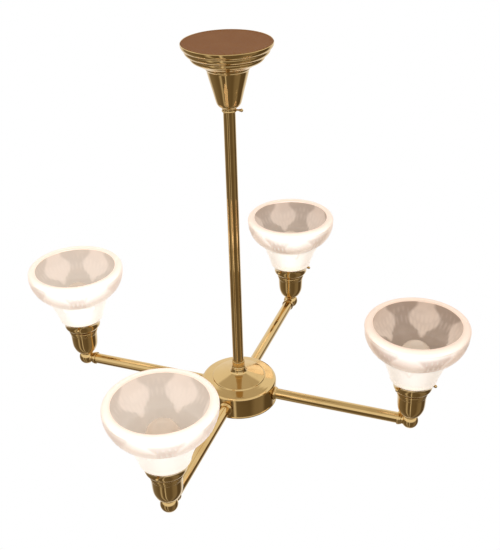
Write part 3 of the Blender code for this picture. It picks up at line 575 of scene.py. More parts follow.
@dataclass(frozen=True)
class SatinGlass:
    """Pressed opal glass with an acid-bitten satin skin, with a painted glow, as emission, for the light of
    the bulb inside it.

    The mesh carries two attributes: "inside" is one on the bowl's inner wall, and "pattern" is how
    far the pressed relief stands up.
    """

    # Which lit or shaded copy of the glass this is: painted light and shade.
    tone: str
    # Inner wall colours: the frosted lobes and the clear gaps between them, both darkened as painted shade
    # inside the bowl.
    inner_light: Colour = (0.68, 0.57, 0.47, 1.0)
    inner_dark: Colour = (0.38, 0.29, 0.22, 1.0)
    rim: Colour = (0.86, 0.72, 0.61, 1.0)
    body: Colour = (0.93, 0.86, 0.78, 1.0)
    # Darker colour laid into the relief's grooves: painted shade.
    groove: Colour = (0.62, 0.46, 0.36, 1.0)
    # Strength of the glass's painted glow.
    glow: float = 0.80

    def colour(self, sheet: Sheet, inside: Socket, raised: Socket, height: Socket) -> Socket:
        """The glass's base colour. Cream outside and darker towards the rim, with painted shade in the
        relief's grooves. Taupe on the inner wall, where the frosted and clear pattern is darkened by
        painted shade inside the bowl.
        """
        inner = sheet.blend(raised, self.inner_dark, self.inner_light)
        inner = sheet.blend(sheet.between(height, 0.90, 0.95), inner, self.rim)
        shoulder = sheet.between(height, 0.40, 0.80)
        outer = sheet.blend(shoulder, self.body, self.rim)
        return sheet.blend(inside, sheet.blend(self.sunk(sheet, raised, height), outer, self.groove), inner)

    def sunk(self, sheet: Sheet, raised: Socket, height: Socket) -> Socket:
        """How far a spot outside lies down in the relief, from 0 to 1. This is the mask for the painted
        shade in the relief's grooves, fading out towards the rim.
        """
        low = sheet.math(
            "MULTIPLY", sheet.math("SUBTRACT", 1.0, raised), sheet.between(height, 0.44, 0.54, 0.0, 0.75),
        )
        return sheet.math("MULTIPLY", low, sheet.between(height, 0.82, 0.92, 1.0, 0.0))

    def light(self, sheet: Sheet, inside: Socket, raised: Socket, height: Socket) -> Socket:
        """Painted glow for the bulb's light in the glass, as emission: strong where the wall is looked
        straight through and dimmer at grazing edges, with painted shade in the relief's grooves and on the
        inner wall.
        """
        facing = sheet.add("ShaderNodeLayerWeight")
        sheet.fix(facing, "Blend", 0.45)
        straight = sheet.between(facing.outputs["Facing"], 0.08, 0.60, 1.0, 0.0)
        centre = sheet.blend(
            sheet.between(height, 0.88, 1.0), (0.98, 0.96, 0.96, 1.0), (0.48, 0.42, 0.38, 1.0),
        )
        centre = sheet.blend(sheet.between(height, 0.0, 0.16), (0.80, 0.62, 0.44, 1.0), centre)
        edge = sheet.blend(
            sheet.between(height, 0.40, 0.60), (0.34, 0.31, 0.28, 1.0), (0.16, 0.125, 0.10, 1.0),
        )
        outer = sheet.blend(straight, edge, centre)
        # Painted shade: the glow dims in the relief's grooves.
        dimmed = sheet.math(
            "MULTIPLY", self.sunk(sheet, raised, height), sheet.between(straight, 0.55, 1.0, 0.60, 0.12),
        )
        outer = sheet.blend(dimmed, outer, (0.10, 0.06, 0.04, 1.0))
        # The inner wall glows only faintly, which is painted shade inside the bowl, a little brighter on
        # the frosted lobes.
        inner = sheet.blend(raised, (0.015, 0.012, 0.01, 1.0), (0.07, 0.055, 0.045, 1.0))
        inner = sheet.blend(sheet.between(height, 0.90, 0.95), inner, (0.26, 0.22, 0.18, 1.0))
        return sheet.blend(inside, outer, inner)

    def build(self, ripple: Effect) -> Finish:
        """Makes the material from the shared ripple."""
        finish, sheet, shader = new_finish(f"satin_glass_{self.tone}")
        skin = placed_group(sheet, ripple, Ripple=38.0, Bite=1100.0)
        inside = sheet.add("ShaderNodeAttribute", attribute_name="inside").outputs["Fac"]
        pattern = sheet.add("ShaderNodeAttribute", attribute_name="pattern").outputs["Fac"]
        height = sheet.add("ShaderNodeAttribute", attribute_name="rise").outputs["Fac"]
        cloud = sheet.between(skin.outputs["Slow"], 0.3, 0.7, -0.12, 0.12)
        raised = sheet.math("ADD", pattern, cloud, clamp=True)
        sheet.join(self.colour(sheet, inside, raised, height), shader.inputs["Base Color"])
        sheet.join(sheet.between(skin.outputs["Fine"], 0.3, 0.7, 0.34, 0.46), shader.inputs["Roughness"])
        sheet.fix(shader, "Transmission Weight", 0.25)
        sheet.fix(shader, "IOR", 1.45)
        # The glass's emission is painted glow, not a lamp.
        sheet.join(self.light(sheet, inside, raised, height), shader.inputs["Emission Color"])
        sheet.fix(shader, "Emission Strength", self.glow)
        fine = sheet.math("MULTIPLY", skin.outputs["Fine"], 0.3)
        bumped(sheet, shader, sheet.math("ADD", fine, skin.outputs["Slow"]), 0.12, 0.0008)
        return finish


@dataclass(frozen=True)
class Finishes:
    """Every finish of the chandelier, built once."""

    brass: Finish
    plate: Finish
    steel: Finish
    lead: Finish
    porcelain: Finish
    bulb: Finish
    bulb_cap: Finish
    # Lit and shaded copies of one glass: painted light and shade.
    shaded_glass: Finish
    mid_glass: Finish
    pale_glass: Finish


ZINC_STEEL = PlainMetal(
    "zinc_plated_steel",
    bright=(0.55, 0.55, 0.52, 1.0),
    dull=(0.42, 0.43, 0.44, 1.0),
    marks_scale=90.0,
    haze=0.15,
    roughness=0.27,
    scratch_depth=0.2,
)
CAP_ALUMINIUM = PlainMetal(
    "bulb_cap_aluminium",
    bright=(0.74, 0.73, 0.70, 1.0),
    dull=(0.60, 0.58, 0.55, 1.0),
    marks_scale=120.0,
    haze=0.12,
    roughness=0.24,
    scratch_depth=0.15,
)
CLEAR_INSULATION = GlossySkin(
    "clear_gold_insulation",
    first=(0.42, 0.29, 0.10, 1.0),
    second=(0.52, 0.38, 0.16, 1.0),
    ripple_scale=160.0,
    bite_scale=1200.0,
    smooth=0.24,
    rough=0.36,
    coat=0.4,
    depth=0.15,
    relief=0.0003,
)
WHITE_PORCELAIN = GlossySkin(
    "glazed_porcelain_white",
    first=(0.86, 0.84, 0.79, 1.0),
    second=(0.80, 0.77, 0.71, 1.0),
    ripple_scale=70.0,
    bite_scale=700.0,
    smooth=0.12,
    rough=0.22,
    coat=0.5,
    depth=0.12,
    relief=0.0004,
)


def all_finishes() -> Finishes:
    """Builds the shared effects and every finish."""
    marks, ripple = handling_marks(), fired_ripple()
    return Finishes(
        brass=PolishedBrass().build(marks),
        plate=BronzedPlate().build(marks),
        steel=ZINC_STEEL.build(marks),
        lead=CLEAR_INSULATION.build(ripple),
        porcelain=WHITE_PORCELAIN.build(ripple),
        bulb=OpalBulb().build(ripple),
        bulb_cap=CAP_ALUMINIUM.build(marks),
        # One glass in three lit and shaded copies: darkest on the right, in between at the back, palest at
        # the front and left. This is painted light and shade.
        shaded_glass=SatinGlass("shaded").build(ripple),
        mid_glass=SatinGlass(
            "mid",
            inner_light=(0.70, 0.61, 0.53, 1.0),
            inner_dark=(0.48, 0.40, 0.33, 1.0),
            rim=(0.90, 0.78, 0.68, 1.0),
            groove=(0.70, 0.55, 0.44, 1.0),
        ).build(ripple),
        pale_glass=SatinGlass(
            "pale",
            inner_light=(0.80, 0.73, 0.66, 1.0),
            inner_dark=(0.66, 0.60, 0.53, 1.0),
            rim=(0.95, 0.85, 0.77, 1.0),
            body=(0.96, 0.92, 0.87, 1.0),
            groove=(0.84, 0.72, 0.64, 1.0),
            glow=0.85,
        ).build(ripple),
    )


# ---- Sub-assemblies ----------------------------------------------------------------------------


@dataclass
class CeilingFixing:
    """The plate against the ceiling and the threaded fittings under it."""

    finishes: Finishes
    plate_radius: float = 62.2
    plate_depth: float = 2.0

    def build(self) -> None:
        """Builds the plate and dresses the fittings."""
        edge = self.plate_radius
        outline = eased([
            (0.0, -self.plate_depth, 0), (edge, -self.plate_depth, 0.5), (edge, 0.0, 0.5),
            (edge - 2.6, 0.0, 0.4), (edge - 3.2, -0.35, 0.3), (0.0, -0.35, 0),
        ])
        plate = turned("ceiling_plate", outline)
        dressed(plate, self.finishes.plate, Slot.PLATE, "fixture", "mounting_plate")
        for node in ("ceiling_stud", "hickey", "stem_nipple"):
            refinished(node, self.finishes.steel)


@dataclass
class Canopy:
    """The stepped, bell-bottomed canopy and the slip collar that holds it up."""

    finishes: Finishes
    wall: float = 1.0
    bore: float = 9.35
    collar_top: float = -91.3
    collar_bottom: float = -97.7

    def outline(self) -> list[Point]:
        """The spun outer side, from the ceiling down to the stem."""
        pan = eased([
            (62.9, -0.05, 0), (63.5, -0.6, 0.5), (63.5, -4.2, 1.8), (61.4, -7.4, 1.8), (58.4, -8.8, 0.8),
            (59.0, -11.6, 1.5), (57.2, -14.8, 2.0), (53.6, -16.8, 1.6), (51.0, -18.2, 0.8),
            (51.6, -20.8, 1.5), (49.8, -23.6, 2.0), (45.4, -26.2, 2.2), (41.8, -27.2, 1.2),
            (39.6, -29.4, 2.0), (35.4, -32.0, 2.4), (31.4, -33.4, 1.2), (31.5, -35.4, 0.8),
            (30.2, -36.6, 0.8),
        ])
        bell = flowing(
            [
                (29.6, -37.6), (28.9, -41.0), (27.7, -46.0), (26.4, -51.2), (24.5, -58.5), (22.3, -66.5),
                (20.3, -74.3), (18.7, -80.5), (17.2, -85.4), (14.8, -88.9), (12.0, -90.6),
            ],
            steps=3,
        )
        return pan + bell + [(11.2, -91.0)]

    def build(self) -> None:
        """Builds the canopy, its collar and its thumbscrew."""
        outer = self.outline()
        inner = inward(outer, -self.wall)
        inner = [(max(radius, self.bore), min(height, -0.05)) for radius, height in inner]
        spun = turned(
            "canopy_spinning", outer + [(self.bore, -91.0), (self.bore, -90.0)] + inner[::-1], closed=True,
        )
        dressed(spun, self.finishes.brass, Slot.BRASS, "canopy", "canopy")
        top, bottom, waist = self.collar_top, self.collar_bottom, 10.85
        ring = eased(
            [
                (self.bore - 0.05, bottom, 0.3), (waist - 0.9, bottom, 0.5), (waist, bottom + 1.4, 0.8),
                (waist - 0.7, bottom + 2.6, 0.6), (waist - 0.7, top - 2.2, 0.6), (waist, top - 1.0, 0.6),
                (waist - 0.5, top, 0.4), (self.bore - 0.05, top, 0.3),
            ],
            closed=True,
        )
        collar = turned("canopy_slip_collar", ring, closed=True, steps=SMALL_STEPS)
        dressed(collar, self.finishes.brass, Slot.BRASS, "canopy", "canopy_collar")
        low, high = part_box("canopy_thumbscrew")
        tip, head = low.x / MM, 2.5
        end = high.x / MM
        outline = eased([
            (0.0, tip, 0), (1.1, tip, 0.3), (1.3, tip + 0.6, 0.2), (1.3, end - 2 * head - 0.9, 0.2),
            (1.9, end - 2 * head - 0.5, 0.3), (1.9, end - 2 * head + 0.4, 0.3),
        ])
        outline += arc((0.0, end - head), head, -52.0, 90.0, 12)
        outline[-1] = (0.0, end)
        screw = along_x(turned("canopy_screw_knob", outline, steps=SMALL_STEPS))
        middle = (low + high) / 2
        moved(screw, Matrix.Translation((0.0, middle.y, middle.z)))
        hole = drill("collar_drill", 1.45, 7.0, 14.0)
        moved(hole, Matrix.Translation((0.0, middle.y, middle.z)))
        carved(collar, [hole])
        dressed(screw, self.finishes.brass, Slot.BRASS, "canopy_thumbscrew", "canopy_thumbscrew")


@dataclass
class Stem:
    """The long tube, the collar at its foot and the lead inside it."""

    finishes: Finishes
    wall: float = 1.2

    def build(self) -> None:
        """Builds the tube and the neck collar, and dresses the lead."""
        low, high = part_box("stem_tube")
        radius, bottom, top = high.x / MM, low.z / MM, high.z / MM
        bore = radius - self.wall
        heights = [bottom + (top - bottom) * step / 24 for step in range(1, 24)]
        outline = [(bore, bottom), (radius - 0.2, bottom), (radius, bottom + 0.2)]
        outline += [(radius, h) for h in heights] + [(radius, top - 0.2), (radius - 0.2, top), (bore, top)]
        tube = turned("stem_pipe", outline, closed=True)
        dressed(tube, self.finishes.brass, Slot.BRASS, "fixture", "stem_tube")
        low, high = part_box("neck_collar")
        foot, bottom, top, hole = high.x / MM, low.z / MM, high.z / MM, radius + 0.3
        ring = eased(
            [
                (hole, bottom, 0.2), (foot - 0.1, bottom, 0.4), (foot, bottom + 1.6, 0.8),
                (foot - 0.9, bottom + 3.0, 0.8), (foot - 1.1, bottom + 5.0, 1.5),
                (foot - 1.1, top - 4.0, 1.5), (foot - 0.6, top - 1.6, 0.9), (foot - 0.9, top - 0.3, 0.5),
                (hole + 0.3, top, 0.2), (hole, top, 0.1),
            ],
            closed=True,
        )
        collar = turned("stem_neck_ring", ring, closed=True)
        dressed(collar, self.finishes.brass, Slot.BRASS, "fixture", "neck_collar")
        refinished("stem_wiring", self.finishes.lead)


@dataclass
class Hub:
    """The drum that the arms come out of."""

    finishes: Finishes
    radius: float = 61.0
    mouth: float = -16.0
    wall: float = 1.0
    top: float = 40.0
    arm_hole: float = 9.05
    neck_hole: float = 9.05

    def body_outline(self) -> list[Point]:
        """The drum's outer side, from the bead round its mouth up to the neck."""
        side = arc((60.4, -17.8), 1.8, -75.0, 60.0, 8) + eased([
            (self.radius, self.mouth, 0.3), (self.radius, self.mouth + 3.0, 0.5), (self.radius, 13.5, 0.2),
        ])
        shoulder = arc((54.0, 13.5), 7.0, 0.0, 84.0, 12)
        crown = eased([
            (54.7, 20.5, 0), (49.0, 21.5, 1.0), (43.6, 22.3, 0.4), (42.9, 22.9, 0.3), (42.3, 24.5, 0.5),
            (41.0, 25.2, 0.8), (28.0, 28.7, 3.0), (16.8, 31.4, 2.0), (13.9, 32.1, 1.0), (12.6, 34.2, 1.2),
            (11.4, 37.5, 1.2), (10.9, 39.2, 0.6), (10.5, self.top, 0),
        ])
        return side[:-1] + shoulder + crown[1:]

    def build(self) -> None:
        """Builds the drum, its cover and its screw, and dresses what is inside."""
        low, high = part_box("arm_tube_right")
        plane = (low.z + high.z) / 2 / MM
        outer = self.body_outline()
        inner = [(max(r, self.neck_hole), h) for r, h in inward(outer, self.wall)]
        drum = turned(
            "hub_drum", outer + [(self.neck_hole, self.top)] + inner[::-1], closed=True, steps=128,
        )
        holes = []
        for quarter in range(4):
            hole = drill("hub_drill", self.arm_hole, 50.0, 70.0, SMALL_STEPS)
            holes.append(moved(hole, Matrix.Rotation(quarter * math.pi / 2, 4, "Z")))
        carved(drum, holes, smooth=30.0)
        moved(drum, Matrix.Translation((0.0, 0.0, plane * MM)))
        dressed(drum, self.finishes.brass, Slot.BRASS, "fixture", "hub_body")
        cover_outline = eased(
            [
                (2.8, -17.3, 0.1), (13.6, -17.3, 0.8), (17.0, -20.6, 0.9), (20.0, -20.8, 0.6),
                (38.5, -20.8, 0.6), (40.2, -19.8, 0.6), (57.9, -19.6, 0.4), (58.7, -19.2, 0.2),
                (58.7, -18.7, 0.2), (58.0, -18.6, 0.2), (40.8, -18.8, 0.5), (39.2, -19.8, 0.5),
                (20.4, -19.8, 0.6), (17.6, -19.5, 0.8), (14.4, -16.4, 0.8), (2.8, -16.35, 0.1),
            ],
            closed=True,
        )
        cover = turned("hub_cover_disc", cover_outline, closed=True)
        moved(cover, Matrix.Translation((0.0, 0.0, plane * MM)))
        dressed(cover, self.finishes.brass, Slot.BRASS, "fixture", "hub_bottom_cover")
        low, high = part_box("hub_cover_screw")
        bottom, top = low.z / MM, high.z / MM
        knob = eased([
            (0.0, bottom, 0), (3.2, bottom, 1.2), (6.4, bottom + 1.0, 1.4), (7.5, bottom + 2.4, 0.9),
            (7.4, bottom + 3.9, 0.5), (6.9, bottom + 4.5, 0.2), (2.5, bottom + 4.5, 0.1),
            (2.5, top - 0.4, 0.2), (2.1, top, 0.1), (0.0, top, 0),
        ])
        screw = turned("hub_cover_knob", knob, steps=SMALL_STEPS)
        dressed(screw, self.finishes.brass, Slot.BRASS, "fixture", "hub_cover_screw")
        refinished("cluster_body", self.finishes.brass)
        refinished("wiring_junction", self.finishes.porcelain)


@dataclass
class Arms:
    """The four straight tubes, each with its ring at the hub and its elbow at the light."""

    finishes: Finishes
    quarters: dict[str, int]
    reach: float
    plane: float
    tube_radius: float = 8.75
    bore: float = 7.55

    def tube(self) -> Piece:
        """One arm along +X, from inside the hub to inside its elbow, with the ring that hides its hole."""
        low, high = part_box("arm_tube_right")
        start, end, rim = low.x / MM, high.x / MM, 11.15
        r = self.tube_radius
        ring = eased([
            (r, 61.3, 0), (rim - 0.3, 61.3, 0.3), (rim, 62.0, 0.4), (rim, 63.4, 0.8), (r + 1.0, 64.6, 0.6),
            (r + 0.9, 65.3, 0.4), (r, 65.8, 0),
        ])
        lengths = [75.0 + (end - 80.0) * step / 12 for step in range(13)]
        outline = [(self.bore, start), (r - 0.2, start), (r, start + 0.2), (r, 60.0)] + ring
        outline += [(r, x) for x in lengths if x < end - 1]
        outline += [(r, end - 0.2), (r - 0.2, end), (self.bore, end)]
        return along_x(turned("arm_pattern", outline, closed=True, steps=64))

    def elbow(self) -> Piece:
        """One elbow about its light's axis: sleeve and ring towards the hub, ball, seat and nipple."""
        mouth, sleeve, hole = -19.5, 10.55, 9.05
        shell = eased([
            (hole, mouth + 6.0, 0), (hole, mouth, 0.2), (sleeve - 0.2, mouth, 0.3),
            (sleeve, mouth + 1.6, 0.7), (sleeve - 0.2, mouth + 3.3, 0.5), (9.8, mouth + 4.2, 0.4),
            (9.8, mouth + 5.6, 0.5), (8.6, mouth + 6.9, 0.8), (8.2, -11.2, 0.6), (8.8, -9.4, 0.5),
        ])
        ball = arc((0.0, 0.0), 12.9, -46.0, 90.0, 24)
        ball[-1] = (0.0, 12.9)
        body = turned("elbow_pattern", [(0.0, mouth + 6.0)] + shell + ball, steps=72)
        along_x(body)
        seat = turned(
            "elbow_seat",
            eased([
                (0.0, 4.0, 0), (9.5, 6.5, 0.5), (9.7, 12.4, 0.4), (9.3, 12.9, 0.2), (6.5, 12.9, 0.1),
                (6.5, 24.6, 0.3), (6.1, 25.0, 0.1), (4.8, 25.0, 0.1), (4.8, 14.0, 0.1), (0.0, 14.0, 0),
            ]),
            steps=SMALL_STEPS,
        )
        return carved(body, [seat], "UNION", smooth=34.0)

    def build(self) -> None:
        """Builds one arm and one elbow, and copies them to the four directions."""
        tube, elbow = self.tube(), self.elbow()
        for name, quarter in self.quarters.items():
            turn = Matrix.Rotation(quarter * math.pi / 2, 4, "Z")
            rise = Matrix.Translation((0.0, 0.0, self.plane * MM))
            arm = copied(tube, f"arm_pipe_{name}", rise @ turn)
            dressed(arm, self.finishes.brass, Slot.BRASS, "fixture", f"arm_tube_{name}")
            out = Matrix.Translation((self.reach * MM, 0.0, 0.0))
            joint = copied(elbow, f"arm_elbow_{name}", rise @ turn @ out)
            dressed(joint, self.finishes.brass, Slot.BRASS, "fixture", f"elbow_{name}")
            refinished(f"arm_wiring_{name}", self.finishes.lead)
        scrapped(tube, elbow)


@dataclass
class GlassRelief:
    """The festoons pressed into the glass: lobes hung from the rim, with beads and tassels under them."""

    swags: int = 6
    beads: int = 60
    depth: float = 1.2

    def wave(self, turn: np.ndarray, shift: float = 0.0) -> np.ndarray:
        """Each point's place in its festoon: 0 at the middle and 1 where two of them meet."""
        return np.abs(((turn * self.swags / (2 * math.pi) + shift) % 1.0) - 0.5) * 2

    def lobe(self, turn: np.ndarray, rise: np.ndarray) -> np.ndarray:
        """How far a drape's lobe stands up, from 0 to 1: narrow at the rim, wide and round below.

        Args:
            turn: each point's angle about the axis, in radians.
            rise: its share of the glass's height.
        """
        fall = (0.91 - rise) / 0.40
        flare = np.clip((fall - 0.10) / 0.50, 0.0, 1.0)
        width = 0.34 + 0.36 * flare * flare * (3 - 2 * flare)
        tip = np.clip((fall - 0.60) / 0.42, 0.0, 1.0)
        edge = width * np.sqrt(1.0 - tip**2)
        drop = 0.20 * np.sqrt(np.clip(1.0 - ((fall - 0.98) / 0.24) ** 2, 0.0, 1.0))
        edge = np.maximum(edge, drop)
        soft = np.clip((edge - self.wave(turn)) / 0.14 + 0.5, 0.0, 1.0) * (edge > 0.01)
        return np.where(fall < 0.0, 1.0, soft)

    def bead(self, turn: np.ndarray, rise: np.ndarray) -> np.ndarray:
        """The long beads that fringe each festoon's lower edge, in two rows."""
        line = 0.58 + 0.07 * np.cos(math.pi * self.wave(turn, 0.5))
        made = np.zeros_like(rise)
        for row, (offset, half) in enumerate(((0.0, 0.060), (0.135, 0.055))):
            across = 0.5 + 0.5 * np.cos(turn * self.beads + row * math.pi)
            along = np.clip(1.0 - np.abs(rise - line - offset) / half, 0.0, 1.0)
            made = np.maximum(made, across**1.3 * along**0.4 * (1.0 - 0.35 * row))
        return made

    def tassel(self, turn: np.ndarray, rise: np.ndarray) -> np.ndarray:
        """The drop that hangs under each lobe, down to the waist."""
        along = np.clip((rise - 0.33) / 0.20, 0.0, 1.0)
        shape = np.sin(along * math.pi) ** 0.6
        return np.clip(
            1.0 - self.wave(turn) / (0.16 * shape + 1e-3), 0.0, 1.0,
        ) ** 0.5 * (along > 0) * (along < 1)

    def hem(self, turn: np.ndarray, rise: np.ndarray) -> np.ndarray:
        """One above the festoons' scalloped hem and zero below it."""
        line = 0.44 - 0.035 * np.cos(math.pi * self.wave(turn))
        return np.clip((rise - line) / 0.030 + 0.5, 0.0, 1.0)


@dataclass
class Lights:
    """The four lights: cup, holder, screws, lampholder, bulb and bell glass."""

    finishes: Finishes
    quarters: dict[str, int]
    reach: float
    plane: float
    relief: GlassRelief = field(default_factory=GlassRelief)
    glass_wall: float = 3.5
    glass_steps: int = 384
    glass_turns: dict[str, float] = field(
        default_factory=lambda: {"right": 0.0, "back": 0.0, "left": 0.0, "front": 30.0}
    )
    foot: float = 83.5
    top: float = 179.8

    def cup(self) -> Piece:
        """The spun cup that hides the lampholder."""
        outer = flowing(
            [
                (13.5, 13.25), (16.6, 16.6), (18.8, 20.9), (20.2, 25.0), (21.0, 28.7), (21.5, 34.0),
                (21.8, 40.0), (22.1, 46.5), (22.3, 49.4),
            ],
            steps=3,
        )
        outer += eased([
            (22.3, 49.6, 0), (22.3, 50.4, 0.4), (22.9, 51.4, 0.6), (23.1, 52.6, 0.6), (23.1, 54.7, 0.3),
            (22.3, 54.7, 0),
        ])[1:]
        inner = inward(outer[:-1], 0.9)
        inner[0] = (6.8, 14.15)
        inner[-1] = (22.2, 54.7)
        return turned("cup_pattern", [(6.8, 13.2), (12.6, 13.2)] + outer[:-1] + inner[::-1], closed=True)

    def holder(self) -> Piece:
        """The flared holder that grips the glass."""
        outer = eased([
            (18.5, 55.0, 0), (23.9, 55.0, 0.4), (24.2, 56.2, 0.8), (24.2, 57.6, 0.8), (23.6, 59.0, 0.8),
            (26.0, 62.0, 1.6), (29.2, 65.6, 2.2), (29.9, 68.5, 1.6), (30.1, 73.0, 2.0), (31.0, 76.5, 2.0),
            (32.6, 79.4, 1.6), (33.2, 80.4, 0.5), (33.8, 81.0, 0.5), (33.8, 82.0, 0.3),
        ])
        inner = inward(outer, 0.9)
        inner[0] = (18.5, 55.9)
        inner[-1] = (32.9, 82.0)
        return turned("holder_pattern", outer + inner[::-1], closed=True)

    def screw(self) -> Piece:
        """One holder screw along +X: its tip against the glass, its shank and its ball head."""
        tip, head, middle = 27.7, 2.6, 34.3
        outline = eased([
            (0.0, tip, 0), (1.2, tip, 0.3), (1.5, tip + 0.5, 0.2), (1.5, 31.2, 0.2), (2.0, 31.5, 0.2),
            (2.0, 32.2, 0.3),
        ])
        outline += arc((0.0, middle), head, -44.0, 90.0, 12)
        outline[-1] = (0.0, middle + head)
        return along_x(turned("screw_pattern", outline, steps=32))

    def lampholder(self) -> Piece:
        """The porcelain lampholder with one narrow channel round its side and a plain mouth for the bulb's
        cap.
        """
        outline = [
            (0.0, 29.0, 0), (6.8, 29.0, 0.1), (6.8, 18.0, 0.3), (14.6, 18.0, 0.8), (16.4, 21.6, 1.0),
            (18.2, 26.0, 1.0), (18.2, 35.0, 0.3), (17.6, 35.6, 0.2), (17.6, 36.6, 0.2), (18.2, 37.2, 0.3),
            (18.2, 63.2, 0.6), (17.6, 64.0, 0.4), (14.2, 64.0, 0.4), (13.4, 63.2, 0.4), (13.4, 41.5, 0.1),
            (0.0, 41.5, 0),
        ]
        return turned("lampholder_pattern", eased(outline), steps=SMALL_STEPS)

    def bulb(self) -> Piece:
        """The frosted bulb on its threaded cap."""
        bottom, top, crest, root = 41.8, 67.8, 13.1, 12.5
        outline: list[Corner] = [
            (0.0, bottom, 0), (4.3, bottom, 0.4), (4.6, bottom + 1.0, 0.3), (9.0, bottom + 3.2, 0.6),
            (crest - 0.4, bottom + 4.5, 0.5),
        ]
        pitch = 3.6
        for turn in range(5):
            height = bottom + 5.2 + turn * pitch
            outline += [(crest, height + 0.9, 0.8), (root, height + 2.7, 0.8)]
        cap = eased(outline + [(crest - 0.2, top - 0.6, 0.3), (crest - 0.3, top, 0.1)], steps=3)
        globe = flowing([(12.8, 68.2), (13.6, 76.0), (15.8, 86.0), (19.2, 97.0)], steps=4)[:-1]
        globe += arc((0.0, 121.8), 24.0, -40.0, 90.0, 22)
        globe[-1] = (0.0, 145.8)
        piece = turned("bulb_pattern", cap + globe, steps=64)
        piece.data.materials.append(self.finishes.bulb)
        piece.data.materials.append(self.finishes.bulb_cap)
        for face in piece.data.polygons:
            face.material_index = int(face.center.z < (top + 0.3) * MM)
        return piece

    def glass_outline(self, inset: float) -> list[Point]:
        """The glass's outer side for an inset of zero, or a line that far inside it, from foot to rim."""
        slope = (52.5 - 36.1) / 44.9
        out = inset * math.hypot(1.0, slope)
        lower = [
            (36.1 - out + slope * step * 44.9 / 16, self.foot + step * 44.9 / 16) for step in range(17)
        ]
        waist = lower[-1][0]
        start = -math.degrees(math.acos(min((waist - 30.3) / (47.4 - inset), 1.0)))
        bell = arc((30.3, 170.3), 47.4 - inset, start, 0.0, 26)
        return lower + bell[1:] + [(77.7 - inset, 171.0)]

    def glass(self) -> Piece:
        """One bell glass with its relief, as one closed wall."""
        outer = [
            (28.6, 67.4), (28.6, 69.6), (28.2, 69.9), (27.4, 70.3), (27.4, 77.6), (28.6, 79.6),
            (32.0, 81.8), (34.4, 82.7),
        ]
        outer = eased([(r, h, 0.5) for r, h in outer], steps=3)
        body = self.glass_outline(0.0)
        roll = arc((69.7, 171.8), 8.0, 0.0, 90.0, 14)
        lip = [
            (68.2, 179.8), (66.8, 179.4), (65.7, 178.6), (65.2, 177.9), (65.4, 177.2), (66.2, 177.0),
            (67.4, 177.5), (68.8, 177.9),
        ]
        inner_roll = arc((69.7, 171.8), 8.0 - 2.4, 82.0, 8.0, 10)
        inner = self.glass_outline(self.glass_wall)
        neck = [
            (31.0, 83.6), (28.0, 81.2), (25.6, 79.0), (23.9, 77.0), (23.9, 70.0), (23.9, 67.6),
            (24.2, 67.4),
        ]
        outline = outer + body + roll[1:] + lip + inner_roll + inner[::-1] + neck
        piece = turned("glass_pattern", outline, closed=True, steps=self.glass_steps, smooth=50.0)
        self.press(piece, self.relief.depth)
        return piece

    def press(self, piece: Piece, ground: float) -> None:
        """Presses the relief into the walls, and notes the wall and the relief on each point.

        Args:
            piece: the turned glass.
            ground: how deep the plain surface lies under the highest relief, in millimetres.
        """
        mesh = piece.data
        flat = np.empty(len(mesh.vertices) * 3)
        mesh.vertices.foreach_get("co", flat)
        spots = flat.reshape(-1, 3) / MM
        radius, height = np.hypot(spots[:, 0], spots[:, 1]), spots[:, 2]
        turn = np.arctan2(spots[:, 1], spots[:, 0])
        rise = (height - self.foot) / (self.top - self.foot)
        body = np.array(self.glass_outline(self.glass_wall / 2))
        middle = np.interp(height, body[:, 1], body[:, 0])
        middle = np.where(height > 171.0, 73.2 - 0.10 * (height - 171.0) ** 1.9, middle)
        inside = (radius < middle).astype(float)
        inside[height < self.foot - 2] = (radius[height < self.foot - 2] < 26.0).astype(float)
        lobe, bead, tassel = (
            shape(turn, rise) for shape in (self.relief.lobe, self.relief.bead, self.relief.tassel)
        )
        hem = self.relief.hem(turn, rise)
        raised = np.maximum(hem * (0.30 + 0.50 * lobe), np.maximum(bead * hem, tassel))
        fade = np.clip((rise - 0.28) / 0.04, 0, 1)
        on_body = (inside < 0.5) & (rise > 0.0)
        start = np.clip(rise / 0.06, 0, 1) * np.clip((0.985 - rise) / 0.04, 0, 1)
        sink = np.where(on_body, ground * start * (1.0 - raised * fade), 0.0)
        sink -= np.where((inside > 0.5) & (rise > 0.02) & (rise < 0.92), 0.5 * (1.0 - lobe) * fade, 0.0)
        scale = (radius - sink) / np.maximum(radius, 1e-6)
        spots[:, 0] *= scale
        spots[:, 1] *= scale
        mesh.vertices.foreach_set("co", (spots * MM).reshape(-1))
        mesh.update()
        shown = np.where(
            inside > 0.5, np.clip(0.85 * lobe + 0.35 * bead, 0, 1), np.clip(1.6 * raised - 0.6, 0, 1),
        )
        for label, values in (("inside", inside), ("pattern", shown), ("rise", np.clip(rise, 0, 1))):
            mesh.attributes.new(label, "FLOAT", "POINT").data.foreach_set(
                "value", values.astype(np.float32),
            )

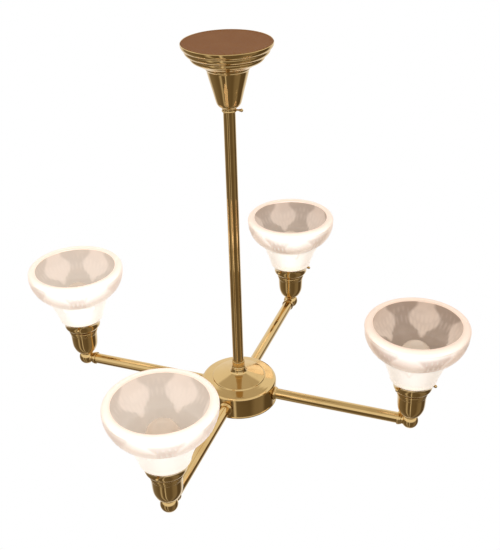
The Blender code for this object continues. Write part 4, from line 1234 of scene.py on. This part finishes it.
    def build(self) -> None:
        """Builds one light and copies it to the four arms."""
        cup, holder, screw = self.cup(), self.holder(), self.screw()
        lampholder, bulb, glass = self.lampholder(), self.bulb(), self.glass()
        axes = {joint["child"]: Vector(joint["axis"]) for joint in frame["record"]["behaviour"]["joints"]}
        low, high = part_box("holder_screw_right_1")
        screw_height = (low.z + high.z) / 2
        for name, quarter in self.quarters.items():
            turn = Matrix.Rotation(quarter * math.pi / 2, 4, "Z")
            place = Matrix.Translation((
                0.0, 0.0, self.plane * MM,
            )) @ turn @ Matrix.Translation((self.reach * MM, 0.0, 0.0))
            centre = place.translation
            brass = self.finishes.brass
            dressed(
                copied(cup, f"light_cup_{name}", place), brass, Slot.BRASS, "fixture", f"socket_cup_{name}",
            )
            flared = copied(holder, f"glass_holder_{name}", place)
            holes = []
            for number in (1, 2, 3):
                node = f"holder_screw_{name}_{number}"
                aim = Vector((1, 0, 0)).rotation_difference(axes[node]).to_matrix().to_4x4()
                spot = Matrix.Translation((centre.x, centre.y, screw_height)) @ aim
                dressed(copied(screw, f"glass_screw_{name}_{number}", spot), brass, Slot.BRASS, node, node)
                holes.append(moved(drill("holder_drill", 1.65, 25.0, 36.0), spot))
            carved(flared, holes, smooth=34.0)
            dressed(flared, brass, Slot.BRASS, "fixture", f"shade_holder_{name}")
            dressed(
                copied(lampholder, f"light_porcelain_{name}", place), self.finishes.porcelain,
                Slot.PORCELAIN, "fixture", f"lampholder_{name}",
            )
            dressed(
                copied(bulb, f"frosted_bulb_{name}", place), self.finishes.bulb, Slot.BULB, f"bulb_{name}",
                f"bulb_{name}",
            )
            # Each light takes its lit or shaded copy of the glass: painted light and shade.
            tone = {
                "right": self.finishes.shaded_glass, "back": self.finishes.mid_glass,
            }.get(name, self.finishes.pale_glass)
            phase = Matrix.Rotation(math.radians(self.glass_turns[name]), 4, "Z")
            dressed(
                copied(glass, f"bell_glass_{name}", place @ phase), tone, Slot.GLASS, "fixture",
                f"glass_shade_{name}",
            )
        scrapped(cup, holder, screw, lampholder, bulb, glass)


# ---- Studio ------------------------------------------------------------------------------------


@dataclass(frozen=True)
class Studio:
    """Camera, pale floor and soft light."""

    camera_place: Corner = (0.439580, -1.117082, 0.331299)
    camera_turn: Colour = (0.854243, 0.491006, 0.095166, 0.141863)
    lens: float = 59.0422
    floor_height: float = -1.6

    def camera(self) -> None:
        """Sets the camera up."""
        data = bpy.data.cameras.new("studio_camera")
        data.lens, data.sensor_width = self.lens, 36.0
        camera = bpy.data.objects.new("studio_camera", data)
        bpy.context.scene.collection.objects.link(camera)
        camera.location = self.camera_place
        camera.rotation_mode = "QUATERNION"
        camera.rotation_quaternion = Quaternion(self.camera_turn)
        bpy.context.scene.camera = camera

    def floor(self) -> None:
        """Lays a wide pale floor far below the chandelier."""
        nothing_selected()
        bpy.ops.mesh.primitive_plane_add(size=60.0, location=(0.0, 0.0, self.floor_height))
        floor = bpy.context.object
        floor.name = "studio_floor"
        finish, sheet, shader = new_finish("pale_paper")
        where = sheet.add("ShaderNodeTexCoord").outputs["Object"]
        sheet.join(sheet.between(sheet.noise(where, 3.0), 0.3, 0.7, 0.8, 0.9), shader.inputs["Roughness"])
        sheet.fix(shader, "Base Color", (0.85, 0.85, 0.84, 1.0))
        seen = sheet.add("ShaderNodeLightPath").outputs["Is Camera Ray"]
        white = sheet.add("ShaderNodeEmission")
        mixed = sheet.add("ShaderNodeMixShader")
        sheet.join(seen, mixed.inputs[0])
        sheet.join(shader.outputs[0], mixed.inputs[1])
        sheet.join(white.outputs[0], mixed.inputs[2])
        sheet.join(mixed.outputs[0], finish.node_tree.nodes["Material Output"].inputs["Surface"])
        floor.data.materials.append(finish)
        floor.visible_glossy = False

    def sky(self) -> None:
        """Surrounds the chandelier with soft boxes: white overhead, dark below with upright bands."""
        world = bpy.data.worlds.new("studio_light")
        world.use_nodes = True
        bpy.context.scene.world = world
        sheet = Sheet(world.node_tree)
        for node in list(world.node_tree.nodes):
            world.node_tree.nodes.remove(node)
        aim = math.atan2(self.camera_place[0], -self.camera_place[1])
        turned_view = sheet.add("ShaderNodeMapping")
        sheet.fix(turned_view, "Rotation", (0.0, 0.0, -aim))
        sheet.join(sheet.add("ShaderNodeTexCoord").outputs["Generated"], turned_view.inputs["Vector"])
        parts = sheet.add("ShaderNodeSeparateXYZ")
        sheet.join(turned_view.outputs["Vector"], parts.inputs[0])
        across, depth, up = parts.outputs
        round_turn = sheet.math("ARCTAN2", across, sheet.math("MULTIPLY", depth, -1.0))
        share = sheet.math("ADD", sheet.math("DIVIDE", round_turn, 2 * math.pi), 0.5)
        bands = [
            (0.0, 1.0), (0.10, 0.85), (0.16, 0.26), (0.33, 0.17), (0.37, 0.60), (0.40, 0.17), (0.44, 0.14),
            (0.455, 0.80),
            (0.475, 0.18), (0.58, 0.16), (0.64, 0.26), (0.70, 0.28), (0.74, 0.13), (0.82, 0.12),
            (0.88, 0.9), (1.0, 1.0),
        ]
        lower = sheet.ramp(share, bands)
        overhead = sheet.ramp(
            sheet.math("ADD", sheet.math("MULTIPLY", up, 0.5), 0.5),
            [(0.0, 1.0), (0.55, 1.05), (0.86, 1.0), (0.885, 0.62), (1.0, 0.62)],
        )
        light = sheet.blend(sheet.between(up, -0.08, 0.16), lower, overhead)
        soft = sheet.add("ShaderNodeBackground")
        sheet.join(light, soft.inputs["Color"])
        sheet.fix(soft, "Strength", 1.05)
        paper = sheet.add("ShaderNodeBackground")
        sheet.fix(paper, "Color", (1.0, 1.0, 1.0, 1.0))
        mixed = sheet.add("ShaderNodeMixShader")
        sheet.join(sheet.add("ShaderNodeLightPath").outputs["Is Camera Ray"], mixed.inputs[0])
        sheet.join(soft.outputs[0], mixed.inputs[1])
        sheet.join(paper.outputs[0], mixed.inputs[2])
        out = sheet.add("ShaderNodeOutputWorld")
        sheet.join(mixed.outputs[0], out.inputs["Surface"])

    def build(self) -> None:
        """Sets up the whole studio."""
        self.camera()
        self.sky()
        self.floor()
        bpy.context.scene.view_settings.view_transform = "Standard"


def main() -> None:
    """Builds the studio and each sub-assembly."""
    logging.basicConfig(level=logging.INFO, format="%(name)s: %(message)s")
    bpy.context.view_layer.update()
    Studio().build()
    finishes = all_finishes()
    tube_low, tube_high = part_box("arm_tube_right")
    bulb_low, bulb_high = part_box("bulb_right")
    plane = (tube_low.z + tube_high.z) / 2 / MM
    reach = (bulb_low.x + bulb_high.x) / 2 / MM
    quarters = {"right": 0, "back": 1, "left": 2, "front": 3}
    CeilingFixing(finishes).build()
    Canopy(finishes).build()
    Stem(finishes).build()
    Hub(finishes).build()
    Arms(finishes, quarters, reach, plane).build()
    Lights(finishes, quarters, reach, plane).build()


if __name__ == "__main__":
    main()
